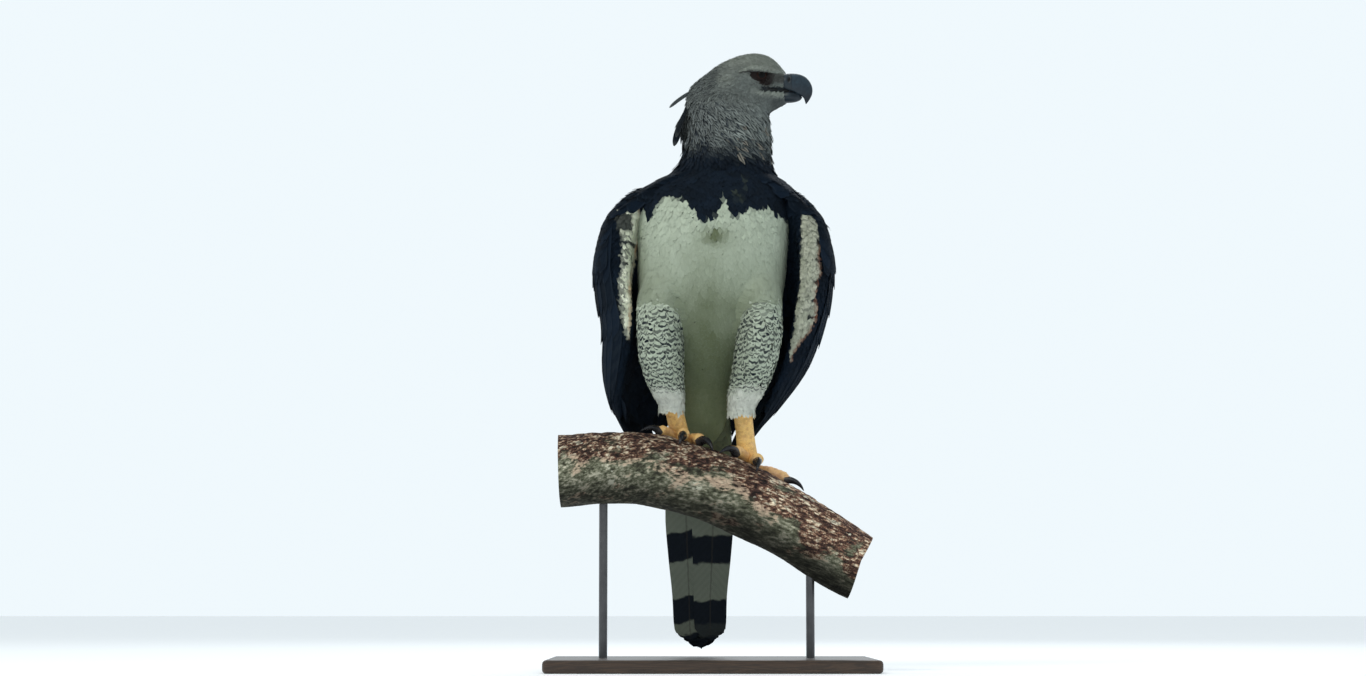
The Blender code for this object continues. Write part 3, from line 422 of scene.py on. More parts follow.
def collar(z, turn, height):
    """The neck with the head's underside over it: the neck's middle + (reach + height) * ray, the reach read
    between the four nearest places of its table."""
    z, turn = matched(z, turn)
    up = np.clip((z - COLLAR_LOW) / COLLAR_STEP, 0, COLLAR_ROWS - 1.001)
    around = (turn / (2 * math.pi) % 1) * COLLAR_SIDES
    i, j = up.astype(int), around.astype(int)
    u, v = up - i, around - j
    j, k = j % COLLAR_SIDES, (j + 1) % COLLAR_SIDES
    lower = COLLAR[i, j] * (1 - v) + COLLAR[i, k] * v
    upper = COLLAR[i + 1, j] * (1 - v) + COLLAR[i + 1, k] * v
    reach = lower * (1 - u) + upper * u + height
    rows = read_table(TRUNK, z)
    return np.stack([rows[..., 0] + reach * np.cos(turn), rows[..., 1] + reach * np.sin(turn), z], axis=-1)


def body(z, turn, height):
    """The trunk with the tops of the thighs under the same coat: along each ray from the trunk's middle, the
    eased larger of the trunk's reach and the far side of the thigh's ellipse."""
    points = trunk(z, turn, height)
    rows = read_table(TRUNK, z)
    centre = rows[..., :2] + 0 * points[..., :2]
    ray = points[..., :2] - centre
    reach = np.linalg.norm(ray, axis=-1)
    ray = ray / reach[..., None]
    level = points[..., 2]
    share_in = rise(level, 0.5, 0.56) * (1 - rise(level, 0.62, 0.64))
    for side in OUTWARD:
        table = np.array(THIGHS[side])
        order = np.argsort(table[:, 2])
        place = np.interp(level, table[order, 2], np.linspace(1, 0, len(table)))
        leg = by_share(THIGHS[side], place)
        dome = dome_over(level, *THIGH_DOME)
        half = (leg[..., 3:5] + np.asarray(height)[..., None]) * dome[..., None]
        gap = (centre - leg[..., 0:2]) / half
        step = ray / half
        a, b, c = (step * step).sum(-1), (gap * step).sum(-1), (gap * gap).sum(-1) - 1
        inner = b * b - a * c
        far = (-b + np.sqrt(np.maximum(inner, 0))) / a - 0.1 * np.maximum(-inner, 0) / a
        reach = reach + share_in * (eased_max(reach, far, 0.01) - 0.0002 - reach)
    flat = centre + ray * reach[..., None]
    return np.concatenate([flat, points[..., 2:]], axis=-1)


def thigh(side):
    """A thigh: at a share of its length, an ellipse that leans back a little."""

    def surface(share, turn, height):
        rows = by_share(THIGHS[side], share)
        past = np.maximum(np.asarray(share, float) - 1, 0)
        c, s = np.cos(turn), np.sin(turn)
        return np.stack(
            [
                rows[..., 0] + (rows[..., 3] + height) * c,
                rows[..., 1] + (rows[..., 4] + height) * s + 0.035 * past,
                rows[..., 2] + 0.1 * rows[..., 4] * s - 0.19 * past,
            ],
            axis=-1,
        )

    return surface


def tail_wrap(place, turn, height):
    """The coverts round the root of the tail: flattened rings about its centre line."""
    rows = read_table(TAIL, place)
    c, s = squared(turn, TAIL_FULLNESS)
    depth = np.interp(place, (0.0, 0.15, 0.36, 0.5), (0.013, 0.0125, 0.0085, 0.0075))
    width = rows[..., 3] * np.interp(place, (0.0, 0.2, 0.36, 0.5), (1.2, 1.0, 0.86, 0.8))
    x = rows[..., 0] + (width + height) * c
    return np.stack([x, rows[..., 1] + (depth + height) * s, rows[..., 2] + 0 * x], axis=-1)


def wing_sheet(side, place, across, lift=0.0):
    """The folded wing: place from shoulder to tip, across from front edge to back edge, each level a curve
    through the front, outermost and back places, and lift out of its middle sheet."""
    outward = OUTWARD[side]

    def middle(place, across):
        rows = read_table(WING, place)
        front, outer, back = rows[..., 1:3], rows[..., 3:5], rows[..., 5:7]
        bend = 2 * outer - (front + back) / 2
        c = across[..., None]
        flat = front * (1 - c) ** 2 + 2 * bend * c * (1 - c) + back * c * c
        splay = WING_SPLAY[side] * rise(place, *SPLAY_SPAN) * (1 - 0.25 * across)
        x = (flat[..., 0] + splay) * outward
        return np.stack([x + WING_SHIFT, flat[..., 1], rows[..., 0]], axis=-1)

    place, across = matched(place, across)
    step = 0.01
    along = middle(np.clip(place + step, 0, 1), across) - middle(np.clip(place - step, 0, 1), across)
    over = middle(place, across + step) - middle(place, across - step)
    normal = unit(np.cross(over, along) * outward)
    return middle(place, across) - normal * np.asarray(lift)[..., None]


def wing_thickness(place, across):
    """Half the folded arm's thickness: round at the front edge, thinning to the back edge."""
    deep = read_table(WING, place)[..., 7]
    nose = np.sqrt(np.clip(1 - (1 - np.clip(across / NOSE_SHARE, 0, 1)) ** 2, 0, 1))
    return deep / 2 * nose * (1 - 0.72 * np.clip((across - NOSE_SHARE) / (1 - NOSE_SHARE), 0, 1)) + 0.0008


def wing_lining(place, across):
    """How much further in the folded arm reaches, to close against the breast and the flank."""
    span = rise(place, 0.0, 0.14) * (1 - rise(place, 0.42, 0.72))
    return LINING_DEPTH * span * rise(across, 0.03, 0.3) * (1 - rise(across, 0.45, 0.85))


def wing_outer(side):
    """The outer face of the folded wing."""

    def surface(place, across, height):
        return wing_sheet(side, place, across, wing_thickness(place, across) + height)

    return surface


def wing_nose(side):
    """The wing's front edge: an angle runs from its inner face (-90 degrees) over its front edge (0) to its
    outer face (90), across = NOSE_SHARE * (1 - cos), and heights stand on the normal there."""
    outward = OUTWARD[side]

    def bare(place, angle):
        across = NOSE_SHARE * (1 - np.cos(angle))
        half = read_table(WING, place)[..., 7] / 2 * abs(np.sin(angle)) + 0.0008
        lift = np.where(angle > 0, half, -half - wing_lining(place, across))
        return wing_sheet(side, place, across, lift)

    def surface(place, angle, height):
        place, angle = matched(place, angle)
        step = 0.01
        along = bare(np.clip(place + step, 0, 1), angle) - bare(np.clip(place - step, 0, 1), angle)
        over = bare(place, angle + 0.06) - bare(place, angle - 0.06)
        normal = unit(np.cross(along, over) * outward)
        return bare(place, angle) + normal * np.asarray(height)[..., None]

    return surface


def perch_frame(x):
    """Centre, direction along, direction up and radius of the branch at x."""
    x = np.asarray(x, float)
    rows = read_table(PERCH_LINE, x)
    ahead = read_table(PERCH_LINE, x + 0.002)
    behind = read_table(PERCH_LINE, x - 0.002)
    along = unit(np.stack([np.full(x.shape, 0.004), 0 * x, ahead[..., 0] - behind[..., 0]], axis=-1))
    up = np.stack([-along[..., 2], 0 * x, along[..., 0]], axis=-1)
    centre = np.stack([x, 0 * x, rows[..., 0]], axis=-1)
    return centre, along, up, rows[..., 1]


def on_perch(x, angle, height):
    """A point over the branch: angle round it from its crest, towards the front, and height over its bark."""
    centre, _, up, radius = perch_frame(x)
    reach = (radius + height)[..., None]
    front = np.array((0.0, -1.0, 0.0))
    return centre + reach * (up * np.cos(angle)[..., None] + front * np.sin(angle)[..., None])


# Making meshes


def make_piece(name, points, faces, look, colours=None, marks=None, maps=None, sharp=70, grain=None):
    """A mesh object from points and a list of arrays of faces, each array with one count of corners. Colours,
    marks and grain belong to points, and a map gives each point its place on it."""
    points = np.asarray(points, np.float32).reshape(-1, 3) + np.float32((0, PERCH_SETBACK, 0))
    corners = np.concatenate([np.asarray(block, np.int32).ravel() for block in faces])
    sizes = np.concatenate([np.full(len(block), block.shape[1]) for block in faces])
    starts = np.concatenate([[0], np.cumsum(sizes)[:-1]]).astype(np.int32)
    mesh = bpy.data.meshes.new(name)
    mesh.vertices.add(len(points))
    mesh.vertices.foreach_set("co", points.ravel())
    mesh.loops.add(len(corners))
    mesh.loops.foreach_set("vertex_index", corners)
    mesh.polygons.add(len(starts))
    mesh.polygons.foreach_set("loop_start", starts)
    mesh.polygons.foreach_set("use_smooth", np.ones(len(starts), bool))
    mesh.update(calc_edges=True)
    for label, values in (("coat", colours), ("mark", marks)):
        if values is not None:
            full = np.ones((len(points), 4), np.float32)
            full[:, :3] = np.asarray(values, np.float32).reshape(-1, 3)
            layer = mesh.attributes.new(label, "FLOAT_COLOR", "POINT")
            layer.data.foreach_set("color", full.ravel())
    if grain is not None:
        layer = mesh.attributes.new("grain", "FLOAT_VECTOR", "POINT")
        layer.data.foreach_set("vector", np.asarray(grain, np.float32).ravel())
    for label, places in (maps or {}).items():
        layer = mesh.uv_layers.new(name=label)
        layer.data.foreach_set("uv", np.asarray(places, np.float32).reshape(-1, 2)[corners].ravel())
    if sharp:
        mesh.set_sharp_from_angle(angle=math.radians(sharp))
    mesh.materials.append(look)
    obj = bpy.data.objects.new(name, mesh)
    bpy.context.scene.collection.objects.link(obj)
    return obj


def put_in(piece, slot, *nodes):
    """The piece rides on the still body and these solids are hidden. The slot is not used."""
    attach(piece, "root")
    if nodes:
        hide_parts(*nodes)
    return piece


def shell_faces(rings, sides, start=0):
    """Quads between closed rings, with a fan to a middle point at each end, for points laid out as the rings
    followed by the first and the last middle."""
    ring, side = np.meshgrid(np.arange(rings - 1), np.arange(sides), indexing="ij")
    a = ring * sides + side
    b = ring * sides + (side + 1) % sides
    quads = np.stack([a, b, b + sides, a + sides], axis=-1).reshape(-1, 4) + start
    j = np.arange(sides)
    k = (j + 1) % sides
    low = np.stack([0 * j + rings * sides, k, j], axis=-1)
    last = (rings - 1) * sides
    high = np.stack([0 * j + rings * sides + 1, last + j, last + k], axis=-1)
    return [quads, np.concatenate([low, high]) + start]


def shell_points(rings):
    """Rings of points followed by the middles of the first and the last ring."""
    rings = np.asarray(rings, float)
    return np.concatenate([rings.reshape(-1, 3), [rings[0].mean(0), rings[-1].mean(0)]])


def joined(shells):
    """Points and faces of several closed shells of rings, set one after another. A shell whose faces would
    point inwards, by the sign of its volume, has its rings reversed."""
    points, faces, start = [], [], 0
    for rings in shells:
        rings = np.asarray(rings, float)
        middle = rings.mean((0, 1))
        after = np.roll(rings, -1, axis=1)
        volume = (np.cross(rings[:-1] - middle, after[:-1] - middle) * (rings[1:] - middle)).sum()
        if volume < 0:
            rings = rings[:, ::-1]
        block = shell_points(rings)
        points.append(block)
        faces += shell_faces(rings.shape[0], rings.shape[1], start)
        start += len(block)
    return np.concatenate(points), faces


def tube_rings(path, radii, sides, flatten=1.0, hint=(0.0, 0.0, 1.0)):
    """Rings about a path: path + side * radius * cos + up * radius * flatten * sin."""
    path = np.asarray(path, float)
    radii = np.asarray(radii, float)
    along = unit(np.gradient(path, axis=0))
    side = unit(np.cross(along, np.array(hint)))
    up = np.cross(side, along)
    turn = full_turn(sides)
    return (
        path[:, None]
        + side[:, None] * (radii[:, None] * np.cos(turn))[..., None]
        + up[:, None] * (radii[:, None] * np.sin(turn) * flatten)[..., None]
    )


# Feathers. A form gives the levels along a vane, its width at each, and its columns across.
SMALL_VANE = (
    np.array((0.0, 0.34, 0.68, 0.9, 1.0)),
    np.array((0.5, 0.92, 1.0, 0.78, 0.3)),
    np.array((-1.0, 0.0, 1.0)),
)
BODY_VANE = (
    np.array((0.0, 0.25, 0.5, 0.72, 0.89, 1.0)),
    np.array((0.45, 0.82, 1.0, 0.97, 0.74, 0.26)),
    np.array((-1.0, -0.52, 0.0, 0.52, 1.0)),
)
LONG_VANE = (
    np.array((0.0, 0.07, 0.15, 0.24, 0.34, 0.44, 0.54, 0.64, 0.73, 0.81, 0.88, 0.93, 0.97, 1.0)),
    np.array((0.42, 0.6, 0.76, 0.88, 0.96, 1.0, 1.0, 0.99, 0.96, 0.91, 0.82, 0.68, 0.46, 0.14)),
    np.array((-1.0, -0.55, -0.07, 0.0, 0.07, 0.55, 1.0)),
)


# How freely vanes lie: camber, fray of the edges, roll about the shaft and stray from the lie in radians.
# The breast's camber is its own.
HEAD_FREEDOM, BROW_FREEDOM, NECK_FREEDOM = (0.1, 0.1, 0.06, 0.13), (0.1, 0.1, 0.05, 0.1), (0.1, 0.1, 0.1, 0.2)
BREAST_FREEDOM, THIGH_FREEDOM = (0.06, 0.02, 0.13), (0.07, 0.1, 0.05, 0.2)
FRONT_FREEDOM, WRAP_FREEDOM = (0.07, 0.1, 0.04, 0.14), (0.12, 0.07, 0.05, 0.08)
LESSER_FREEDOM, UNDER_FREEDOM = (0.07, 0.05, 0.03, 0.08), (0.07, 0.06, 0.04, 0.1)
SHOULDER_FREEDOM = (0.08, 0.08, 0.04, 0.12)


class Coat:
    """Vanes gathered for one piece. Each is closed: a crowned top, a flat underside and two end caps."""

    def __init__(self):
        self.points, self.faces, self.colours, self.marks = [], {}, [], []
        self.vane_map, self.bake_map, self.start = [], [], 0

    def add(self, points, colours, marks, form, places, kept=slice(None)):
        """points are vanes x levels x columns, colours belong to vanes or points, marks are bars, fringe and
        streak for each vane, and places its two places on the bake map. Only the kept vanes go in."""
        each = len(points)
        marks = stacked(*(np.broadcast_to(part, each) for part in marks))
        places = stacked(*(np.broadcast_to(part, each) for part in places))
        colours = colours[:, None, None] if colours.ndim == 2 else colours
        points, colours, marks, places = points[kept], colours[kept], marks[kept], places[kept]
        levels, _, columns = form
        count, rows, cols, _ = points.shape
        grid = np.arange(rows * cols).reshape(rows, cols)
        v00, v10, v11, v01 = grid[:-1, :-1], grid[1:, :-1], grid[1:, 1:], grid[:-1, 1:]
        top = np.stack([v00, v10, v11, v01], axis=-1).reshape(-1, 4)
        under = np.stack([grid[:-1, 0], grid[:-1, -1], grid[1:, -1], grid[1:, 0]], axis=-1)
        caps = np.stack([grid[0], grid[-1, ::-1]])
        offsets = self.start + np.arange(count)[:, None, None] * rows * cols
        for block in (top, under, caps):
            placed = (block[None] + offsets).reshape(-1, block.shape[1])
            self.faces.setdefault(block.shape[1], []).append(placed)
        self.start += count * rows * cols
        full = (count, rows, cols)
        across = np.broadcast_to(columns, full)
        along = np.broadcast_to(levels[:, None], full)
        self.points.append(points.reshape(-1, 3))
        self.colours.append(np.broadcast_to(colours, (*full, 3)).reshape(-1, 3))
        self.marks.append(np.broadcast_to(marks[:, None, None], (*full, 3)).reshape(-1, 3))
        self.vane_map.append(np.stack([across * 0.5 + 0.5, along], axis=-1).reshape(-1, 2))
        local = np.stack([across / 2, along - 0.5], axis=-1) * PATCH
        self.bake_map.append((np.clip(places, 0.01, 0.99)[:, None, None] + local).reshape(-1, 2))

    def make(self, name, look):
        """All gathered vanes as one piece."""
        return make_piece(
            name,
            np.concatenate(self.points),
            [np.concatenate(blocks) for blocks in self.faces.values()],
            look,
            np.concatenate(self.colours),
            np.concatenate(self.marks),
            {"OFBake": np.concatenate(self.bake_map), "vane": np.concatenate(self.vane_map)},
        )


def rows_on(surface, levels, spacing, low, high, jitter=0.25):
    """Roots in rows: along each row, the surface's length between two places is cut in equal steps, each row
    shifted half a step from the last, and every root moved a little at random."""
    found_a, found_b = [], []
    dense = np.linspace(low, high, 240)
    for k, level in enumerate(levels):
        line = surface(np.full(240, level), dense, np.zeros(240))
        run = np.concatenate([[0], np.cumsum(np.linalg.norm(np.diff(line, axis=0), axis=1))])
        step = spacing(level) if callable(spacing) else spacing
        count = max(3, int(round(run[-1] / step)))
        place = (np.arange(count) + 0.25 + 0.5 * (k % 2) + random.uniform(-jitter, jitter, count)) / count
        found_b.append(np.interp(np.clip(place, 0, 1) * run[-1], run, dense))
        gap = abs(levels[min(k + 1, len(levels) - 1)] - levels[max(k - 1, 0)]) / 2
        found_a.append(level + random.uniform(-jitter, jitter, count) * gap)
    return np.concatenate(found_a), np.concatenate(found_b)


def steps_down(start, end, pitch):
    """Levels from start down to end, each below the last by the pitch there."""
    levels = [start]
    while levels[-1] > end:
        levels.append(levels[-1] - pitch(levels[-1]))
    return np.array(levels)


def frame_at(surface, a, b):
    """Place, the surface's two directions and its outward normal, by small steps."""
    step = 1e-4
    zero = np.zeros_like(a)
    here = surface(a, b, zero)
    go_a = (surface(a + step, b, zero) - surface(a - step, b, zero)) / (2 * step)
    go_b = (surface(a, b + step, zero) - surface(a, b - step, zero)) / (2 * step)
    out = surface(a, b, zero + 1e-3) - here
    normal = unit(np.cross(go_a, go_b))
    normal *= np.sign((normal * out).sum(-1, keepdims=True))
    return here, go_a, go_b, normal


def lay(surface, a, b, lie, length, width, root, tip, form, camber=0.16, fray=0.05, roll=0.05, stray=0.1):
    """Vanes laid on a surface. A vane's point is the surface at root + length * t * lie + width * w * side,
    both carried over into the surface's own two places, and its height runs from root to tip with t, is
    crowned by camber * (1 - w * w) across, and rolls a little to one side."""
    levels, widths, columns = form
    here, go_a, go_b, normal = frame_at(surface, a, b)
    heading = lie(here) if callable(lie) else np.broadcast_to(np.array(lie, float), here.shape)
    heading = unit(heading - normal * (heading * normal).sum(-1, keepdims=True))
    turn = random.normal(0, stray, len(a))[:, None]
    side = np.cross(normal, heading)
    heading, side = heading * np.cos(turn) + side * np.sin(turn), side * np.cos(turn) - heading * np.sin(turn)
    aa, ab, bb = (go_a * go_a).sum(-1), (go_a * go_b).sum(-1), (go_b * go_b).sum(-1)
    det = np.maximum(aa * bb - ab * ab, 1e-12)

    def carried(direction):
        u, v = (go_a * direction).sum(-1), (go_b * direction).sum(-1)
        return ((bb * u - ab * v) / det)[:, None, None], ((aa * v - ab * u) / det)[:, None, None]

    full = (len(a), len(levels), len(columns))
    t = np.broadcast_to(levels[None, :, None], full)
    w = np.broadcast_to(columns[None, None, :], full)
    shape = widths[None, :, None]
    length = np.broadcast_to(length, a.shape)[:, None, None]
    width = np.broadcast_to(width, a.shape)[:, None, None]
    loose = random.uniform(-1, 1, full) * fray * (0.3 + abs(w)) * rise(t, 0.2, 0.6)
    reach = length * (t - 0.07 * w * w * t + loose * 0.6)
    over = width * shape * w * (1 + loose)
    (go_a1, go_b1), (go_a2, go_b2) = carried(heading), carried(side)
    tilt = random.normal(0, roll, len(a))[:, None, None]
    root = np.broadcast_to(root, a.shape)[:, None, None]
    tip = np.broadcast_to(tip, a.shape)[:, None, None]
    height = root + (tip - root) * t**1.15 + camber * width * shape * (1 - w * w) + tilt * over
    places_a = a[:, None, None] + reach * go_a1 + over * go_a2
    places_b = b[:, None, None] + reach * go_b1 + over * go_b2
    return surface(places_a, places_b, height)


def sound(points, length, width):
    """Which vanes came out near their own length and width on the curved surface."""
    middle, wide = points.shape[2] // 2, points.shape[1] // 2
    run = np.linalg.norm(points[:, -1, middle] - points[:, 0, middle], axis=-1) / length
    over = np.linalg.norm(points[:, wide, -1] - points[:, wide, 0], axis=-1) / (2 * width)
    return (abs(run - 1) < 0.3) & (over < 1.5)


def tone(count, spread):
    """A brightness for each vane, seeded."""
    return (1 + random.normal(0, spread, count))[:, None]


def dark_tones(count):
    """Black to slate for each vane, seeded."""
    return mix(BLACK, SLATE, random.uniform(0, 1, count)) * tone(count, 0.08)


# Markings, with some painted shade and light. Each function gives the plumage's colour at points of the
# bird's frame.
# The lower edge of the black bib over the white breast: x, z
BIB_EDGE = (
    (-0.125, 0.69), (-0.11, 0.6935), (-0.102, 0.696), (-0.098, 0.68), (-0.092, 0.679),
    (-0.086, 0.698), (-0.078, 0.708), (-0.067, 0.714), (-0.055, 0.7125), (-0.044, 0.706),
    (-0.033, 0.7), (-0.026, 0.686), (-0.02, 0.676), (-0.01, 0.6735), (0.0, 0.675),
    (0.008, 0.683), (0.013, 0.695), (0.018, 0.707), (0.022, 0.708), (0.026, 0.694),
    (0.029, 0.682), (0.035, 0.678), (0.042, 0.681), (0.048, 0.69), (0.062, 0.6935),
    (0.08, 0.695), (0.092, 0.69), (0.1, 0.685), (0.125, 0.68),
)


# Pale streaks in the bib: x, z
BIB_STREAKS = ((0.036, 0.7145), (0.045, 0.7125), (0.052, 0.735))


def trunk_colour(points):
    """White breast, black bib with its lobes, and dark mantle. The belly darkens to olive, partly its own
    stain and partly painted shade; a dimple in the breast holds painted shade, and painted light brightens
    the undertail.
    """
    x, y, z = points[..., 0], points[..., 1], points[..., 2]
    edge = np.array(BIB_EDGE)
    bib = rise(z - np.interp(x, edge[:, 0], edge[:, 1]), -0.002, 0.002)
    rows = read_table(TRUNK, z)
    behind = rise((y - rows[..., 1]) / rows[..., 3], 0.32, 0.5)
    soft = 0.022 * ripple(points, 0.07, 2, 2)
    # Painted shade and stain: towards the belly and between the thighs the white darkens to olive, partly the
    # plumage's own stain and partly painted shade, less so at the sides
    belly = 1 - rise(z + soft, 0.485, 0.685)
    belly = belly * (1 - 0.3 * np.clip(abs(x) / 0.1, 0, 1) * rise(z, 0.45, 0.52))
    # Painted shade in a dimple of the breast
    dimple_shade = spot((x - 0.004) / 0.02, (z - 0.65 + 0.003 * ripple(points, 0.02, 15)) / 0.013)
    dimple_shade = dimple_shade * (0.95 + 0.45 * ripple(points, 0.016, 16))
    pale = mix(WHITE, SHADED_WHITE, np.clip(belly + dimple_shade + 0.07 * ripple(points, 0.035, 3), 0, 1))
    # Painted light: below z 0.46 the white is brightened where little light reaches under the body
    pale = pale * (1 + 0.8 * (1 - rise(z, 0.36, 0.46)))[..., None]
    dark = mix(BLACK, SLATE, 0.5 + 0.5 * ripple(points, 0.03, 4))
    for place_x, place_z in BIB_STREAKS:
        streak = spot((x - place_x) / 0.0026, (z - place_z) / 0.007)
        dark = mix(dark, OLIVE_GREY, 0.55 * streak * (y < rows[..., 1]))
    return mix(pale, dark, np.maximum(bib, behind))


def head_colour(points):
    """Pale crown, greyer cheek, dark skin round the eye, a dark mouth's corner and a darker nape."""
    s, _ = head_from_world(points)
    z = points[..., 2]
    colour = mix(CHEEK_GREY, CROWN_GREY, rise(z + 0.15 * s, 0.905, 0.938))
    ear = spot((s + 0.012) / 0.016, (z - 0.905) / 0.014)
    colour = mix(colour, CROWN_GREY, 0.75 * ear)
    jaw = spot((z - 0.8805 + 0.1 * (s - 0.05)) / 0.004) * rise(s, 0.02, 0.045)
    colour = mix(colour, CROWN_GREY * 1.15, 0.75 * jaw)
    chin = rise(s, 0.048, 0.062) * (1 - rise(z, 0.8715, 0.8765))
    colour = mix(colour, NAPE_GREY * 0.7, 0.8 * chin)
    ruff = spot((s + 0.034 + 0.25 * (0.905 - z)) / 0.005)
    colour = mix(colour, NAPE_GREY * 0.55, 0.75 * ruff * (1 - rise(z, 0.912, 0.934)))
    nape = rise(-s, 0.04, 0.062) * 0.3 * (1 - 0.7 * rise(z, 0.905, 0.93))
    colour = mix(colour, NAPE_GREY * 0.8, nape)
    # The dark skin round the eye reaches further forwards below it
    eye_s, _, eye_z = EYE_PLACE
    drop = np.maximum(eye_z - 0.001 - z, 0)
    along = (s - eye_s - 0.001 - 0.5 * drop) / (1.32 - 20 * np.minimum(drop, 0.012))
    away = np.sqrt(along**2 + ((z - eye_z + 0.001) * np.where(drop > 0, 0.78, 1.0)) ** 2)
    colour = mix(colour, EYE_SKIN, 1 - rise(away, 0.012, 0.0155))
    lore = rise(s, 0.05, 0.062) * (1 - rise(abs(z - 0.905), 0.005, 0.011))
    colour = mix(colour, LORE_GREY * 0.9, 0.75 * lore)
    mouth = rise(s, 0.038, 0.047) * (1 - rise(abs(z - MOUTH_LINE_Z + 0.001), 0.0028, 0.0046))
    colour = mix(colour, BLACK, 0.9 * mouth)
    return colour * (1 + 0.1 * ripple(points, 0.012, 6))[..., None]


def collar_colour(points):
    """From the head's own colours down to grey on the neck, then to the black of the bib, by height: the
    fade starts higher at the nape than at the throat and wanders with the noise."""
    x, z = points[..., 0], points[..., 2]
    front = rise(x - read_table(TRUNK, z)[..., 0], -0.05, 0.04)
    grey = mix(NAPE_GREY * 1.25, CHEEK_GREY * 1.35, np.clip(0.25 + 0.75 * front, 0, 1))
    colour = mix(grey, head_colour(points), rise(z, 0.85, 0.876))
    level = z - 0.01 * (1 - front) + 0.012 * ripple(points, 0.03, 5)
    dark = mix(BLACK, SLATE, 0.5 + 0.5 * ripple(points, 0.03, 4))
    return mix(dark, colour, rise(level, 0.762, 0.816) ** 1.15)


def thigh_colour(points):
    """White, with painted shade darkening it inwards between the thighs, and whitest over the foot, where
    painted light brightens it past the breast's white.
    """
    z = points[..., 2]
    # Painted shade between the thighs: darker towards the middle, with a little random tone added
    inner = 0.25 * (1 - rise(abs(points[..., 0]), 0.045, 0.075)) * rise(z, 0.43, 0.47)
    shade = inner + 0.1 * ripple(points, 0.03, 7)
    # Below the bars the feathers are plain white, and painted light brightens them further over the foot
    bright = mix((0.76, 0.79, 0.7), WHITE * 1.08, rise(z, 0.425, 0.455))
    return mix(bright, SHADED_WHITE, np.clip(shade, 0, 1))


# The pale strip along the front edge of each wing: z, and the x of its inner and outer side
STRIPS = {
    "right": (
        (0.5, -0.126, -0.128), (0.53, -0.1235, -0.1365), (0.56, -0.1225, -0.141),
        (0.588, -0.1225, -0.1425), (0.612, -0.12, -0.138), (0.63, -0.1155, -0.1375),
        (0.645, -0.115, -0.1365), (0.662, -0.1085, -0.14), (0.69, -0.108, -0.148),
        (0.708, -0.111, -0.144),
    ),
    "left": (
        (0.47, 0.12, 0.1205), (0.495, 0.121, 0.133), (0.52, 0.1265, 0.153),
        (0.549, 0.1285, 0.162), (0.574, 0.133, 0.16), (0.604, 0.135, 0.167),
        (0.634, 0.136, 0.165), (0.664, 0.1365, 0.173), (0.69, 0.138, 0.176),
        (0.704, 0.142, 0.174),
    ),
}
# Dark bars over each strip: z, half height, and how far out from the middle they start
STRIP_BARS = {
    "right": ((0.6815, 0.013, 0.12), (0.649, 0.0022, 0.105), (0.618, 0.0016, 0.126)),
    "left": (
        (0.685, 0.002, 0.164),
        (0.648, 0.0024, 0.159),
        (0.622, 0.0022, 0.156),
        (0.59, 0.0026, 0.153),
        (0.562, 0.0024, 0.15),
        (0.538, 0.002, 0.145),
    ),
}


def wing_front_colour(side, points):
    """Black along the front edge, with the pale strip, its dark bars, its buff inner edge on the right wing
    and its russet outer edge on the left one. On the right wing painted light brightens the strip."""
    outward = OUTWARD[side]
    table = STRIPS[side]
    z = points[..., 2]
    rows = read_table(table, z)
    x = outward * points[..., 0] + 0.0014 * ripple(points, 0.009, 8)
    inner, outer = outward * rows[..., 0], outward * rows[..., 1] + 0.003 * ripple(points, 0.008, 11)
    within = rise(x, inner - 0.0008, inner + 0.0008) * (1 - rise(x, outer - 0.0008, outer + 0.0008))
    top = table[-1][0] - 0.009
    within = within * rise(z, table[0][0], table[0][0] + 0.006) * (1 - rise(z, top, top + 0.004))
    within = within * (points[..., 1] < 0.03)
    share = np.clip(0.22 + 0.3 * ripple(points, 0.02, 12), 0, 1)
    # On the right wing the strip is brightened 1.8 times: painted light where it lies in shade
    pale = mix(CREAM, SHADED_WHITE, share) * (1.8 if side == "right" else 1.0)
    bent = z + 0.0018 * ripple(points, 0.012, 14)
    for level, half, start in STRIP_BARS[side]:
        bar = (1 - rise(abs(bent - level), half, half + 0.0016)) * rise(x, start - 0.001, start + 0.002)
        pale = mix(pale, BLACK * 1.5, 0.92 * bar)
    spread = np.clip((x - inner) / np.maximum(outer - inner, 0.004), 0, 1)
    if side == "right":
        # The outer half is broken up with dark flecks, and the inner edge is a thin bright line
        fleck = rise(ripple(points, 0.009, 10) + 1.5 * spread - 0.75, 0.1, 0.35)
        pale = mix(pale, BLACK * 2.5, 0.68 * fleck * (1 - 0.8 * rise(z, 0.655, 0.675)))
        line = spot((x - inner - 0.0012) / 0.0022)
        pale = mix(pale, mix(CREAM * 1.25, BUFF, 0.5 + 0.5 * ripple(points, 0.02, 17)), 0.9 * line)
    else:
        fleck = rise(ripple(points, 0.012, 9), 0.42, 0.55)
        pale = mix(pale, BLACK * 2, 0.45 * fleck)
        pale = mix(pale, RUSSET * 1.3, 0.85 * spot((x - outer) / 0.0034))
    dark = mix(BLACK, SLATE, 0.5 + 0.5 * ripple(points, 0.03, 13))
    return mix(dark, pale, within)


# Shading. Effects that several materials share are node groups.


